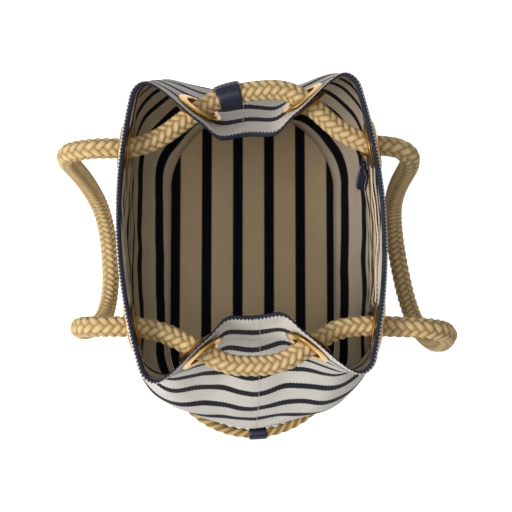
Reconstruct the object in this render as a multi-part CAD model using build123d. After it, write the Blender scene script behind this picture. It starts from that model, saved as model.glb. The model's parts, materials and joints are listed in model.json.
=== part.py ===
"""Striped canvas tote bag with rope handles, an oval base and an inner zip pocket.

Millimetres, +Z up. The origin is the middle of the base at the surface that the bag stands on.
X runs along the bag's length, from gusset to gusset, and Y across its depth. The front panel is on
the -Y side, the back panel, which carries the pocket, on the +Y side.
"""
from build123d import *
import math
import os

# Fabric bag: each station is one level of the wall.
BAG_HEIGHT = 275.0
BASE_HALF_LENGTH = 168.0
BASE_HALF_WIDTH = 88.0
BELLY_HALF_LENGTH = 163.0
BELLY_HALF_WIDTH = 112.0
RIM_HALF_LENGTH = 131.0
RIM_HALF_WIDTH = 95.0
RIM_CORNER_RADIUS = 14.0
RIM_PINCH = 62.0  # how far the middle of each gusset folds in at the rim
RIM_BULGE = 19.0  # how far the middle of each side bows out at the rim
RIM_DIP = 23.0  # how far the rim drops at the middle of each gusset
RIM_DIP_HALF_WIDTH = 60.0
RIM_TWIST = 2.6  # degrees that the soft rim leans round, seen from above
LAYER = 1.5  # one thickness of canvas
LAYER_GAP = 0.3  # air between two layers of cloth
ARC_COLUMNS = 6  # flat facets round each quarter's curve

# Base.
BASE_CLEARANCE = 0.3
BOARD_THICKNESS = 2.0
LINING_THICKNESS = 1.2
BASE_ROPE_DIAMETER = 10.0
BASE_SLEEVE_LENGTH = 19.0
BASE_SLEEVE_WALL = 1.1
BASE_SLEEVE_CLEARANCE = 0.6
BASE_SLEEVE_Y = 5.5
GROUND_GAP = 0.1

# Rim facing and seam tapes.
FACING_DEPTH = 46.0
SEAM_TAPE_WIDTH = 14.0
SEAM_TAPE_THICKNESS = 1.0

# Eyelets: a flanged barrel from outside and a washer inside.
EYELET_HEIGHT = 244.0
EYELET_SPACING_SIDE = 156.0
EYELET_SPACING_GUSSET = 92.0
EYELET_FLANGE_RADIUS = 21.5
EYELET_BORE_RADIUS = 13.4
EYELET_WALL = 0.9
EYELET_FLANGE = 1.2
EYELET_STANDOFF = 1.3
EYELET_CLEARANCE = 0.35
EYELET_CENTRE_SHIFT = 3.0
SEAT_DEPTH = 7.0
SEAT_CLEARANCE = 0.15
EYELET_FACET = 0.0245  # half of the flat facet at an eyelet, as a share of the way round

# Rope. The handles swing about the bends where they leave their short outer ends.
ROPE_DIAMETER = 18.0
HANDLE_GAP = 0.6
SLEEVE_LENGTH = 21.0
SLEEVE_WALL = 1.5
SLEEVE_CLEARANCE = 0.9
SLEEVE_Y = -20.0
BEND_SHARE = 0.45

# Pocket on the back panel, level with the zip unless a line says otherwise.
POCKET_HALF_LENGTH = 84.0
POCKET_TOP = 217.0
POCKET_BOTTOM = 72.0
POCKET_DEPTH = 2.9
POCKET_CLOTH = 1.2
POCKET_BINDING = 4.0
ZIP_HEIGHT = 180.0
ZIP_HALF_LENGTH = 78.0
ZIP_INSET = 5.6
TAPE_WIDTH = 6.0
TAPE_THICKNESS = 0.8
TEETH_HEIGHT = 2.2
TEETH_THICKNESS = 2.4
TEETH_GAP = 1.2
STOP_LENGTH = 3.0
SLIDER_LENGTH = 11.0
SLIDER_HEIGHT = 9.0
SLIDER_PLATE = 1.1
SLIDER_CLEARANCE = 0.35
SLIDER_POST_LENGTH = 4.0
ARCH_HALF_LENGTH = 4.0
ARCH_HEIGHT = 3.4
ARCH_WIDTH = 2.4
ARCH_THICKNESS = 0.9
PULLER_LENGTH = 15.0
PULLER_WIDTH = 6.0
PULLER_THICKNESS = 1.4
PULLER_BAR_RADIUS = 0.6
PULLER_WINDOW = 5.4
PULLER_EYE_RADIUS = 1.5
TAB_LENGTH = 32.0
TAB_WIDTH = 11.0
TAB_LAYER = 1.2
TAB_GAP = 0.3
TAB_SLOPE = 50.0

# Bare leather patch high on the inside of the back panel, near the left gusset.
LABEL_WIDTH = 24.0
LABEL_HEIGHT = 52.0
LABEL_THICKNESS = 1.6
LABEL_CENTRE_X = -121.0
LABEL_CENTRE_Z = 199.0
PATCH_NEAREST_Y = 82.0  # beyond the gusset's fold, so that a patch lies on the panel's own face


def base_rope_height():
    """The base rope's centre, high enough for its sleeve to clear the ground."""
    return GROUND_GAP + BASE_SLEEVE_WALL + BASE_SLEEVE_CLEARANCE + BASE_ROPE_DIAMETER / 2


class Station:
    """One level of the wall: a rounded box whose ends pinch in and whose sides bow out."""

    def __init__(self, height, centre, half_length, half_width, corner, pinch, bulge, twist):
        self.height = height
        self.centre = centre
        self.half_length = half_length
        self.half_width = half_width
        self.corner = corner
        self.pinch = pinch
        self.bulge = bulge
        self.twist = twist


def stations():
    """The wall's levels, from the ground to the rim."""
    trim = base_rope_height() + BASE_ROPE_DIAMETER / 2 + 1.0
    rise = BAG_HEIGHT - trim
    waist_length = 0.45 * BELLY_HALF_LENGTH + 0.55 * RIM_HALF_LENGTH
    waist_width = 0.55 * BELLY_HALF_WIDTH + 0.45 * RIM_HALF_WIDTH
    neck_length = 0.2 * BELLY_HALF_LENGTH + 0.8 * RIM_HALF_LENGTH
    neck_width = 0.25 * BELLY_HALF_WIDTH + 0.75 * RIM_HALF_WIDTH
    return [
        Station(0, 0, BASE_HALF_LENGTH, BASE_HALF_WIDTH, BASE_HALF_WIDTH, 0, 0, 0),
        Station(trim, 0, BASE_HALF_LENGTH, BASE_HALF_WIDTH, BASE_HALF_WIDTH, 0, 0, 0),
        Station(
            trim + 0.08 * rise, -4,
            0.4 * BASE_HALF_LENGTH + 0.6 * BELLY_HALF_LENGTH,
            0.3 * BASE_HALF_WIDTH + 0.7 * BELLY_HALF_WIDTH, 78, 1, 4, 0.2,
        ),
        Station(trim + 0.2 * rise, -10, BELLY_HALF_LENGTH, BELLY_HALF_WIDTH, 62, 4, 8, 0.6),
        Station(trim + 0.52 * rise, -24, waist_length, waist_width, 34, 15, 14, 1.3),
        Station(trim + 0.77 * rise, -15, neck_length, neck_width, 20, 38, 17, 2.0),
        Station(
            BAG_HEIGHT, -5, RIM_HALF_LENGTH, RIM_HALF_WIDTH, RIM_CORNER_RADIUS,
            RIM_PINCH, RIM_BULGE, RIM_TWIST,
        ),
    ]


def station_at(height):
    """The wall's level at any height, between the two stations beside it."""
    levels = stations()
    for low, high in zip(levels, levels[1:]):
        if height <= high.height:
            break
    share = (height - low.height) / (high.height - low.height)
    low_values = list(vars(low).values())
    high_values = list(vars(high).values())
    return Station(*[a + (b - a) * share for a, b in zip(low_values, high_values)])


def outline_point(level, share, inset):
    """A point of one level's outline, share of the way round from the middle of the +X end."""
    length = level.half_length - inset
    width = level.half_width - inset
    corner = max(level.corner - inset, 1.0)
    end_run = max(width - corner, 0.0)
    side_run = max(length - corner, 0.0)
    arc_run = corner * math.pi / 2
    quarter = end_run + arc_run + side_run
    turn = (share % 1.0) * 4
    quadrant = min(int(turn), 3)
    along = turn - quadrant
    if quadrant in (1, 3):
        along = 1 - along
    run = along * quarter
    if run <= end_run:
        x, y = length, run
    elif run <= end_run + arc_run:
        angle = (run - end_run) / corner
        x = length - corner + corner * math.cos(angle)
        y = width - corner + corner * math.sin(angle)
    else:
        x, y = length - corner - (run - end_run - arc_run), width
    x -= level.pinch * (1 + math.cos(math.pi * min(y / width, 1))) / 2
    y += level.bulge * (1 - min(x / length, 1) ** 2) * (y / width) ** 2
    x = -x if quadrant in (1, 2) else x
    y = -y if quadrant in (2, 3) else y
    angle = math.radians(level.twist)
    turned_x = x * math.cos(angle) - y * math.sin(angle) + level.centre
    turned_y = x * math.sin(angle) + y * math.cos(angle)
    return Vector(turned_x, turned_y, level.height)


def block(x0, x1, y0, y1, z0, z1):
    """A box between two corners."""
    size = Box(abs(x1 - x0), abs(y1 - y0), abs(z1 - z0))
    return Pos((x0 + x1) / 2, (y0 + y1) / 2, (z0 + z1) / 2) * size


def rim_height(share):
    """The rim's height, which dips at the middle of each gusset."""
    y = outline_point(station_at(BAG_HEIGHT), share, 0).Y
    near = min(abs(y) / RIM_DIP_HALF_WIDTH, 1)
    return BAG_HEIGHT - RIM_DIP * (1 + math.cos(math.pi * near)) / 2


def grid_shares():
    """The facets' edges round the bag: one flat facet at each eyelet, more where it bends."""
    eyelets = eyelet_shares().values()
    flat = [share + side * EYELET_FACET for share in eyelets for side in (-1, 1)]
    even = [i / (4 * ARC_COLUMNS) for i in range(4 * ARC_COLUMNS + 1)]
    even = [s for s in even if all(abs(s - e) > EYELET_FACET * 1.3 for e in eyelets)]
    return sorted(flat + even)


def wall_point(share, height, inset):
    """A point of the wall, straight between the two stations beside its height."""
    levels = stations()
    row = max(i for i, level in enumerate(levels[:-1]) if level.height <= height + 1e-9)
    low, high = levels[row], levels[row + 1]
    up = (height - low.height) / (high.height - low.height)
    start = outline_point(low, share, inset)
    return start + (outline_point(high, share, inset) - start) * up


def layer(inset, thickness, start, end):
    """A closed layer of cloth between two of the grid's edges, from the ground to the rim.

    Every layer has the same facets, so two layers stay parallel.
    """
    shares = [s for turn in (-1, 0) for s in (g + turn for g in GRID) if start - 1e-6 < s < end + 1e-6]
    shares = sorted(set(round(s, 9) for s in shares))
    levels = [level.height for level in stations()]
    rows = [levels[:-1] + [rim_height(share)] for share in shares]
    outer = [[wall_point(s, z, inset) for z in zs] for s, zs in zip(shares, rows)]
    inner = [[wall_point(s, z, inset + thickness) for z in zs] for s, zs in zip(shares, rows)]
    faces = []

    def quad(a, b, c, d):
        faces.append(Face(Wire.make_polygon([a, b, c])))
        faces.append(Face(Wire.make_polygon([a, c, d])))

    columns, count = len(shares), len(levels)
    for i in range(columns - 1):
        for j in range(count - 1):
            quad(outer[i][j], outer[i + 1][j], outer[i + 1][j + 1], outer[i][j + 1])
            quad(inner[i + 1][j + 1], inner[i + 1][j], inner[i][j], inner[i][j + 1])
        quad(outer[i][0], inner[i][0], inner[i + 1][0], outer[i + 1][0])
        quad(outer[i][-1], outer[i + 1][-1], inner[i + 1][-1], inner[i][-1])
    for j in range(count - 1):
        quad(outer[0][j], outer[0][j + 1], inner[0][j + 1], inner[0][j])
        quad(outer[-1][j], inner[-1][j], inner[-1][j + 1], outer[-1][j + 1])
    return Solid(Shell(faces))


def eyelet_shares():
    """Where the eight eyelets sit: name, and the share of the way round the rim."""
    level = station_at(EYELET_HEIGHT)
    half_side = EYELET_SPACING_SIDE / 2
    half_gusset = EYELET_SPACING_GUSSET / 2

    def share_of(low, high, miss):
        tries = [low + (high - low) * i / 2000 for i in range(2001)]
        return min(tries, key=lambda s: miss(outline_point(level, s, 0)))

    return {
        "right_back": share_of(0.0, 0.1, lambda p: abs(p.Y - half_gusset - EYELET_CENTRE_SHIFT)),
        "back_right": share_of(0.1, 0.25, lambda p: abs(p.X - half_side)),
        "back_left": share_of(0.25, 0.4, lambda p: abs(p.X + half_side + EYELET_CENTRE_SHIFT)),
        "left_back": share_of(0.4, 0.5, lambda p: abs(p.Y - half_gusset)),
        "left_front": share_of(0.5, 0.6, lambda p: abs(p.Y + half_gusset)),
        "front_left": share_of(0.6, 0.75, lambda p: abs(p.X + half_side)),
        "front_right": share_of(0.75, 0.9, lambda p: abs(p.X - half_side)),
        "right_front": share_of(0.9, 1.0, lambda p: abs(p.Y + half_gusset - EYELET_CENTRE_SHIFT)),
    }


GRID = grid_shares()


def eyelet_plane(share):
    """The plane of an eyelet: on the wall's outer face, its Z pointing out of the bag."""
    low, high = EYELET_HEIGHT - EYELET_FLANGE_RADIUS, EYELET_HEIGHT + EYELET_FLANGE_RADIUS
    behind, ahead = share - EYELET_FACET, share + EYELET_FACET
    corners = [wall_point(s, z, 0) for s in (behind, ahead) for z in (low, high)]
    along = (corners[2] + corners[3] - corners[0] - corners[1]).normalized()
    up = (corners[1] + corners[3] - corners[0] - corners[2]).normalized()
    middle = (corners[0] + corners[1] + corners[2] + corners[3]) / 4
    return Plane(origin=middle, x_dir=along, z_dir=along.cross(up).normalized())


def stack_depth():
    """From the canvas's outer face to the facing's inner face."""
    return 2 * LAYER + LAYER_GAP


def eyelet(plane):
    """The outer half: a rounded flange and the barrel through the cloth."""
    barrel = EYELET_BORE_RADIUS + EYELET_WALL
    depth = stack_depth() + 2 * EYELET_STANDOFF
    flange = Cylinder(EYELET_FLANGE_RADIUS, EYELET_FLANGE, align=(Align.CENTER, Align.CENTER, Align.MIN))
    flange = fillet(flange.edges().sort_by(Axis.Z)[-1], EYELET_FLANGE * 0.7)
    tube = Cylinder(barrel, depth, align=(Align.CENTER, Align.CENTER, Align.MAX))
    bore = Cylinder(EYELET_BORE_RADIUS, 4 * depth)
    return plane * Pos(0, 0, EYELET_STANDOFF) * (flange + tube - bore)


def eyelet_washer(plane):
    """The inner half: the washer that the barrel is rolled over."""
    hole = EYELET_BORE_RADIUS + EYELET_WALL + EYELET_CLEARANCE / 2
    ring = Cylinder(EYELET_FLANGE_RADIUS - 1, EYELET_FLANGE, align=(Align.CENTER, Align.CENTER, Align.MAX))
    ring = fillet(ring.edges().sort_by(Axis.Z)[0], EYELET_FLANGE * 0.6)
    ring -= Cylinder(hole, 6 * EYELET_FLANGE)
    drop = stack_depth() + EYELET_STANDOFF - EYELET_FLANGE * 0.5
    return plane * Pos(0, 0, -drop - EYELET_FLANGE * 0.5) * ring


def eyelet_hole(plane):
    """What the cloth leaves free: the hole round the barrel, and flat seats for both rings."""
    radius = EYELET_BORE_RADIUS + EYELET_WALL + EYELET_CLEARANCE
    hole = Cylinder(radius, 8 * EYELET_WALL + 2 * stack_depth() + 8)
    seat_radius = EYELET_FLANGE_RADIUS + EYELET_CLEARANCE
    seat = Cylinder(seat_radius, SEAT_DEPTH, align=(Align.CENTER, Align.CENTER, Align.MIN))
    outside = Pos(0, 0, EYELET_STANDOFF - SEAT_CLEARANCE) * seat
    inside = Pos(0, 0, -stack_depth() - EYELET_STANDOFF + SEAT_CLEARANCE - SEAT_DEPTH) * seat
    return plane * (hole + outside + inside)


def rope_path(points, name):
    """Straight runs joined by arcs as large as the two runs beside each corner allow."""
    spots = [Vector(*p) for p in points]
    radii = []
    for a, b, c in zip(spots, spots[1:], spots[2:]):
        turn = math.radians((b - a).get_angle(c - b))
        shorter = min((b - a).length, (c - b).length)
        radii.append(BEND_SHARE * shorter / math.tan(turn / 2))
    print(name, "radii", [round(r, 1) for r in radii])
    return FilletPolyline(*spots, radius=radii)


def rope(points, diameter, name):
    """A plain round rope along its path."""
    path = rope_path(points, name)
    start = Plane(origin=path @ 0, z_dir=path % 0)
    body = sweep(start * Circle(diameter / 2), path=path)
    expected = math.pi * diameter**2 / 4 * path.length
    print(name, "length", round(path.length, 1), "volume share", round(body.volume / expected, 4))
    return body


# The rope's route, by hand. Each handle hangs from its two hinge points, where a run ends.
FRONT_LEFT_HINGE = (-76.0, -158.0, 243.5)
FRONT_RIGHT_HINGE = (77.0, -152.0, 243.5)
BACK_LEFT_HINGE = (-70.0, 145.0, 243.5)
BACK_RIGHT_HINGE = (80.0, 168.0, 243.5)
FRONT_LOOP = (
    FRONT_LEFT_HINGE,
    (-76.0, -160.0, 200.0),
    (-73.0, -159.0, 148.0),
    (-66.0, -156.0, 98.0),
    (-51.0, -152.0, 55.0),
    (-20.0, -148.0, 27.0),
    (22.0, -146.0, 24.0),
    (53.0, -148.0, 50.0),
    (67.0, -151.0, 94.0),
    (74.0, -154.0, 145.0),
    (77.0, -155.0, 200.0),
    FRONT_RIGHT_HINGE,
)
BACK_LOOP = (
    BACK_LEFT_HINGE,
    (-67.0, 142.0, 200.0),
    (-62.0, 141.0, 150.0),
    (-54.0, 140.0, 104.0),
    (-37.0, 143.0, 66.0),
    (-6.0, 149.0, 42.0),
    (35.0, 157.0, 42.0),
    (66.0, 164.0, 68.0),
    (82.0, 169.0, 110.0),
    (88.0, 171.0, 158.0),
    (86.0, 170.0, 204.0),
    BACK_RIGHT_HINGE,
)
RIGHT_RUN = (
    FRONT_RIGHT_HINGE,
    (79.0, -84.0, 244.0),
    (110.0, -23.0, 243.0),
    (109.0, 26.0, 243.0),
    (75.5, 79.0, 244.0),
    BACK_RIGHT_HINGE,
)
LEFT_RUN = (
    FRONT_LEFT_HINGE,
    (-80.0, -88.0, 243.0),
    (-124.5, -31.0, 245.0),
    (-134.5, 31.5, 245.0),
    (-86.0, 85.0, 243.0),
    BACK_LEFT_HINGE,
)


def handle_loop(points, name):
    """A hanging handle: the rope between its two hinge points, with round ends."""
    body = rope(points, ROPE_DIAMETER, name)
    for end in (points[0], points[-1]):
        body += Pos(*end) * Sphere(ROPE_DIAMETER / 2)
    return body


def rope_run(points, name):
    """The rope from one handle's bend, through four eyelets, to the other handle's bend."""
    body = rope(points, ROPE_DIAMETER, name)
    for start, ahead in ((points[0], points[1]), (points[-1], points[-2])):
        plane = Plane(origin=start, z_dir=Vector(*ahead) - Vector(*start))
        reach = ROPE_DIAMETER / 2 + HANDLE_GAP
        body -= plane * Cylinder(ROPE_DIAMETER, 2 * reach)
    return body


def rope_sleeve(points):
    """The leather sleeve that hides where the rope's two ends meet."""
    path = rope_path(points, "sleeve")
    share = min((i / 500 for i in range(501)), key=lambda s: abs((path @ s).Y - SLEEVE_Y))
    plane = Plane(origin=path @ share, z_dir=path % share)
    inner = ROPE_DIAMETER / 2 + SLEEVE_CLEARANCE
    tube = Cylinder(inner + SLEEVE_WALL, SLEEVE_LENGTH) - Cylinder(inner, 2 * SLEEVE_LENGTH)
    return plane * tube


def base_rope():
    """The thin rope round the seam between the wall and the base."""
    offset = BASE_ROPE_DIAMETER / 2 + BASE_CLEARANCE
    radius = BASE_HALF_WIDTH + offset
    run = BASE_HALF_LENGTH - BASE_HALF_WIDTH
    tube = BASE_ROPE_DIAMETER / 2
    body = None
    for side in (-1, 1):
        ring = Torus(radius, tube) & block(0, side * 2 * radius, -radius * 2, radius * 2, -tube, tube)
        bar = Pos(0, side * radius, 0) * Rot(0, 90, 0) * Cylinder(tube, 2 * run)
        end = Pos(side * run, 0, 0) * ring
        body = end + bar if body is None else body + end + bar
    return Pos(0, 0, base_rope_height()) * body


def base_rope_sleeve():
    """The small leather sleeve on the base rope, at the middle of the right gusset."""
    offset = BASE_ROPE_DIAMETER / 2 + BASE_CLEARANCE
    radius = BASE_HALF_WIDTH + offset
    run = BASE_HALF_LENGTH - BASE_HALF_WIDTH
    angle = math.degrees(math.asin(BASE_SLEEVE_Y / radius))
    inner = BASE_ROPE_DIAMETER / 2 + BASE_SLEEVE_CLEARANCE
    tube = Cylinder(inner + BASE_SLEEVE_WALL, BASE_SLEEVE_LENGTH) - Cylinder(inner, 40)
    place = Pos(run, 0, base_rope_height()) * Rot(0, 0, angle) * Pos(radius, 0, 0)
    tucked = block(-BASE_ROPE_DIAMETER, BASE_CLEARANCE - offset, -40, 40, -40, 40)
    return place * (Rot(90, 0, 0) * tube - tucked)


def base_plate(low, thickness):
    """One flat layer of the base, inside the wall."""
    corners = [wall_point(share, 0, LAYER + BASE_CLEARANCE) for share in GRID[:-1]]
    outline = Face(Wire.make_polygon(corners))
    return Pos(0, 0, low) * extrude(outline, thickness, dir=(0, 0, 1))


def zip_frame():
    """Where the zip's curve is centred, and the radius of the wall's outer face there."""
    level = station_at(ZIP_HEIGHT)
    radius = level.half_length**2 / (2 * level.bulge)
    apex = level.half_width + level.bulge
    place = Pos(level.centre, 0, ZIP_HEIGHT) * Rot(0, 0, level.twist) * Pos(0, apex - radius, 0)
    return place, radius


def zip_band(inset, thickness, z0, z1, x0, x1):
    """A band of the zip's curve, between two heights and two ends measured from its middle."""
    place, radius = zip_frame()
    outer = radius - inset
    inner = outer - thickness
    ring = Circle(outer) - Circle(inner)
    band = Pos(0, 0, z0) * extrude(ring, z1 - z0)
    return place * (band & block(x0, x1, 0, 2 * radius, z0 - 1, z1 + 1))


def zip_tape(side):
    """One of the two cloth tapes, above or below the teeth."""
    near = TEETH_GAP / 2 + TEETH_HEIGHT
    low, high = (near, near + TAPE_WIDTH) if side > 0 else (-near - TAPE_WIDTH, -near)
    inset = ZIP_INSET - TAPE_THICKNESS / 2
    return zip_band(inset, TAPE_THICKNESS, low, high, -ZIP_HALF_LENGTH, ZIP_HALF_LENGTH)


def zip_teeth(side):
    """One row of teeth, as a bar along its tape's edge."""
    low, high = TEETH_GAP / 2, TEETH_GAP / 2 + TEETH_HEIGHT
    low, high = (low, high) if side > 0 else (-high, -low)
    inset = ZIP_INSET - TEETH_THICKNESS / 2
    reach = ZIP_HALF_LENGTH - STOP_LENGTH - 1
    return zip_band(inset, TEETH_THICKNESS, low, high, -reach, reach)


def zip_stop(side):
    """The metal stop across both rows, at one end of the teeth."""
    reach = TEETH_GAP / 2 + TEETH_HEIGHT
    ends = sorted((side * (ZIP_HALF_LENGTH - 1), side * (ZIP_HALF_LENGTH - 1 - STOP_LENGTH)))
    inset = ZIP_INSET - TEETH_THICKNESS / 2
    return zip_band(inset, TEETH_THICKNESS, -reach, reach, *ends)


def slider_rest_angle():
    """How far round the zip's curve the slider stands from the middle, closed, in degrees."""
    place, radius = zip_frame()
    reach = ZIP_HALF_LENGTH - STOP_LENGTH - 1 - SLIDER_LENGTH / 2 - 1
    return math.degrees(math.asin(reach / (radius - ZIP_INSET)))


def on_slider(shape):
    """Moves a shape from the slider's own frame to the slider's place.

    The slider's frame has X along the zip, Y into the bag from the zip's middle plane, Z up.
    """
    place, radius = zip_frame()
    turned = Pos(0, radius - ZIP_INSET, 0) * Rot(0, 0, 180) * shape
    return place * Rot(0, 0, slider_rest_angle()) * turned


def plate_offset():
    """From the zip's middle plane to the near face of either slider plate."""
    return TEETH_THICKNESS / 2 + SLIDER_CLEARANCE


def hinge_offset():
    """From the zip's middle plane to the puller's hinge."""
    return plate_offset() + SLIDER_PLATE + (ARCH_HEIGHT - ARCH_THICKNESS) * 0.55


def zipper_slider():
    """Two plates joined by a thin post between the rows, and the arch that holds the puller."""
    near = plate_offset()
    half = SLIDER_LENGTH / 2
    tall = SLIDER_HEIGHT / 2
    body = block(-half, half, near, near + SLIDER_PLATE, -tall, tall)
    body += block(-half, half, -near - SLIDER_PLATE, -near, -tall, tall)
    post = TEETH_GAP / 2 - SLIDER_CLEARANCE
    body += block(-SLIDER_POST_LENGTH / 2, SLIDER_POST_LENGTH / 2, -near, near, -post, post)
    face = near + SLIDER_PLATE
    half_width = ARCH_WIDTH / 2
    long = ARCH_HALF_LENGTH
    arch = block(-long, long, face, face + ARCH_HEIGHT, -half_width, half_width)
    inside = long - ARCH_THICKNESS
    arch -= block(-inside, inside, face, face + ARCH_HEIGHT - ARCH_THICKNESS, -half_width, half_width)
    return on_slider(body + arch)


def zipper_puller():
    """A flat brass puller whose end bar turns under the slider's arch."""
    hinge = hinge_offset()
    half = PULLER_WIDTH / 2
    thick = PULLER_THICKNESS / 2
    plate = block(-PULLER_LENGTH, 0, hinge - thick, hinge + thick, -half, half)
    window = ARCH_WIDTH / 2 + SLIDER_CLEARANCE
    plate -= block(-PULLER_WINDOW, 0, hinge - thick, hinge + thick, -window, window)
    plate -= block(-2 * PULLER_BAR_RADIUS, 0, hinge - thick, hinge + thick, -half, half)
    eye = Cylinder(PULLER_EYE_RADIUS, 4 * thick)
    plate -= Pos(-puller_eye_reach(), hinge, 0) * Rot(90, 0, 0) * eye
    arms = [
        block(-2 * PULLER_BAR_RADIUS, 0, hinge - PULLER_BAR_RADIUS, hinge + PULLER_BAR_RADIUS, low, high)
        for low, high in ((-half, -window), (window, half))
    ]
    bar = Pos(0, hinge, 0) * Cylinder(PULLER_BAR_RADIUS, PULLER_WIDTH)
    return on_slider(plate + arms + bar)


def puller_eye_reach():
    """From the puller's hinge to its eye."""
    return PULLER_LENGTH - PULLER_EYE_RADIUS - 1.3


def pull_tab():
    """A leather strip folded through the puller's eye, hanging down at a slope."""
    hinge = hinge_offset()
    gap = PULLER_THICKNESS / 2 + TAB_GAP
    half = TAB_WIDTH / 2
    head = PULLER_EYE_RADIUS + 1.6
    front = block(-TAB_LENGTH, head, gap, gap + TAB_LAYER, -half, half)
    back = block(-TAB_LENGTH, head, -gap - TAB_LAYER, -gap, -half, half)
    filler = block(-TAB_LENGTH, -PULLER_WIDTH, -gap, gap, -half, half)
    stud = Rot(90, 0, 0) * Cylinder(PULLER_EYE_RADIUS - 0.4, 2 * gap)
    strip = front + back + filler + stud
    return on_slider(Pos(-puller_eye_reach(), hinge, 0) * Rot(0, -TAB_SLOPE, 0) * strip)


def back_patch(inset, thickness, x0, x1, z0, z1):
    """A piece of a cloth layer on the inside of the back panel, between two corners."""
    return layer(inset, thickness, 0.0, 0.5) & block(x0, x1, PATCH_NEAREST_Y, 200, z0, z1)


def pocket_middle():
    """The pocket's middle along X, where the zip's curve has its apex."""
    place, radius = zip_frame()
    return (place * Pos(0, radius, 0)).position.X


def pocket_strip(inset, thickness, x0, x1, z0, z1):
    """A piece of the pocket, placed along the back panel from the pocket's own middle."""
    middle = pocket_middle()
    return back_patch(inset, thickness, middle + x0, middle + x1, z0, z1)


def pocket_binding():
    """The turned edges that hold the pocket off the panel at its two ends and its bottom."""
    long = POCKET_HALF_LENGTH
    inside = long - POCKET_BINDING
    depth = POCKET_DEPTH - LAYER_GAP
    inset = LAYER + LAYER_GAP
    floor = POCKET_BOTTOM + POCKET_BINDING
    band = pocket_strip(inset, depth, -long, long, POCKET_BOTTOM, POCKET_TOP)
    middle = pocket_middle()
    return band - block(middle - inside, middle + inside, 20, 200, floor, POCKET_TOP + 1)


def build():
    """Every node, by name."""
    nodes = {}
    planes = {name: eyelet_plane(share) for name, share in eyelet_shares().items()}
    holes = [eyelet_hole(plane) for plane in planes.values()]

    def pierced(piece):
        """The piece with the eyelets' holes in it."""
        for hole in holes:
            piece -= hole
        return piece

    under = BAG_HEIGHT - FACING_DEPTH
    inset = LAYER + LAYER_GAP
    rim_band = block(-200, 200, -200, 200, under, BAG_HEIGHT + 1)
    nodes["front_panel"] = pierced(layer(0, LAYER, 0.5, 1.0))
    nodes["back_panel"] = pierced(layer(0, LAYER, 0.0, 0.5))
    nodes["rim_facing_front"] = pierced(layer(inset, LAYER, 0.5, 1.0) & rim_band)
    nodes["rim_facing_back"] = pierced(layer(inset, LAYER, 0.0, 0.5) & rim_band)

    half = SEAM_TAPE_WIDTH / 2
    low = LAYER + BOARD_THICKNESS + LINING_THICKNESS
    ends = {}
    for name, side, turn in (("left", -1, 0.5), ("right", 1, 0.0)):
        whole = layer(inset, SEAM_TAPE_THICKNESS, turn - 0.25, turn + 0.25)
        ends[name] = whole & block(0, side * 250, -half, half, low, under)
    nodes["side_seam_tape_left"] = ends["left"]
    nodes["side_seam_tape_right"] = ends["right"]

    nodes["base_panel"] = base_plate(0, LAYER)
    nodes["base_board"] = base_plate(LAYER, BOARD_THICKNESS)
    nodes["base_lining"] = base_plate(LAYER + BOARD_THICKNESS, LINING_THICKNESS)
    nodes["base_rope"] = base_rope()
    nodes["base_rope_sleeve"] = base_rope_sleeve()

    for name, plane in planes.items():
        nodes["eyelet_" + name] = eyelet(plane)
        nodes["eyelet_washer_" + name] = eyelet_washer(plane)

    nodes["rope_left_run"] = rope_run(LEFT_RUN, "rope_left_run")
    nodes["rope_right_run"] = rope_run(RIGHT_RUN, "rope_right_run")
    nodes["handle_rope_front"] = handle_loop(FRONT_LOOP, "handle_rope_front")
    nodes["handle_rope_back"] = handle_loop(BACK_LOOP, "handle_rope_back")
    nodes["rope_sleeve"] = rope_sleeve(LEFT_RUN)

    long = POCKET_HALF_LENGTH
    tape_reach = TEETH_GAP / 2 + TEETH_HEIGHT + TAPE_WIDTH
    inset = LAYER + POCKET_DEPTH
    nodes["pocket_binding"] = pocket_binding()
    low, high = ZIP_HEIGHT - tape_reach, ZIP_HEIGHT + tape_reach
    nodes["pocket_panel"] = pocket_strip(inset, POCKET_CLOTH, -long, long, POCKET_BOTTOM, low)
    nodes["pocket_facing"] = pocket_strip(inset, POCKET_CLOTH, -long, long, high, POCKET_TOP)
    nodes["zipper_tape_upper"] = zip_tape(1)
    nodes["zipper_tape_lower"] = zip_tape(-1)
    nodes["zipper_teeth_upper"] = zip_teeth(1)
    nodes["zipper_teeth_lower"] = zip_teeth(-1)
    nodes["zipper_top_stop"] = zip_stop(-1)
    nodes["zipper_bottom_stop"] = zip_stop(1)
    nodes["zipper_slider"] = zipper_slider()
    nodes["zipper_puller"] = zipper_puller()
    nodes["pull_tab"] = pull_tab()

    nodes["label_patch"] = back_patch(
        LAYER + LAYER_GAP, LABEL_THICKNESS,
        LABEL_CENTRE_X - LABEL_WIDTH / 2, LABEL_CENTRE_X + LABEL_WIDTH / 2,
        LABEL_CENTRE_Z - LABEL_HEIGHT / 2, LABEL_CENTRE_Z + LABEL_HEIGHT / 2,
    )
    return nodes


def main():
    """Builds every node and writes it to its own STEP file."""
    os.makedirs("parts", exist_ok=True)
    place, radius = zip_frame()
    print("zip curve", place.position, "radius", radius, "slider at", slider_rest_angle())
    for name, share in eyelet_shares().items():
        plane = eyelet_plane(share)
        print(name, round(share, 4), plane.origin, plane.z_dir)
    for name, shape in build().items():
        export_step(shape, f"parts/{name}.step")


if __name__ == "__main__":
    main()
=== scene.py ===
"""Open striped canvas tote bag with rope handles, brass eyelets, leather trim and an inner zip pocket.

Everything is in metres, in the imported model's frame: +Z up, X from gusset to gusset, Y across the depth.
Round the bag, a share of 0 is the middle of the +X gusset, 0.25 is +Y, 0.5 is -X and 0.75 is -Y.
"""
import json
import logging
import math
from dataclasses import dataclass, field
from enum import Enum
from typing import Any, Sequence

import bmesh
import bpy
import numpy as np
from mathutils import Matrix, Vector


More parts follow.
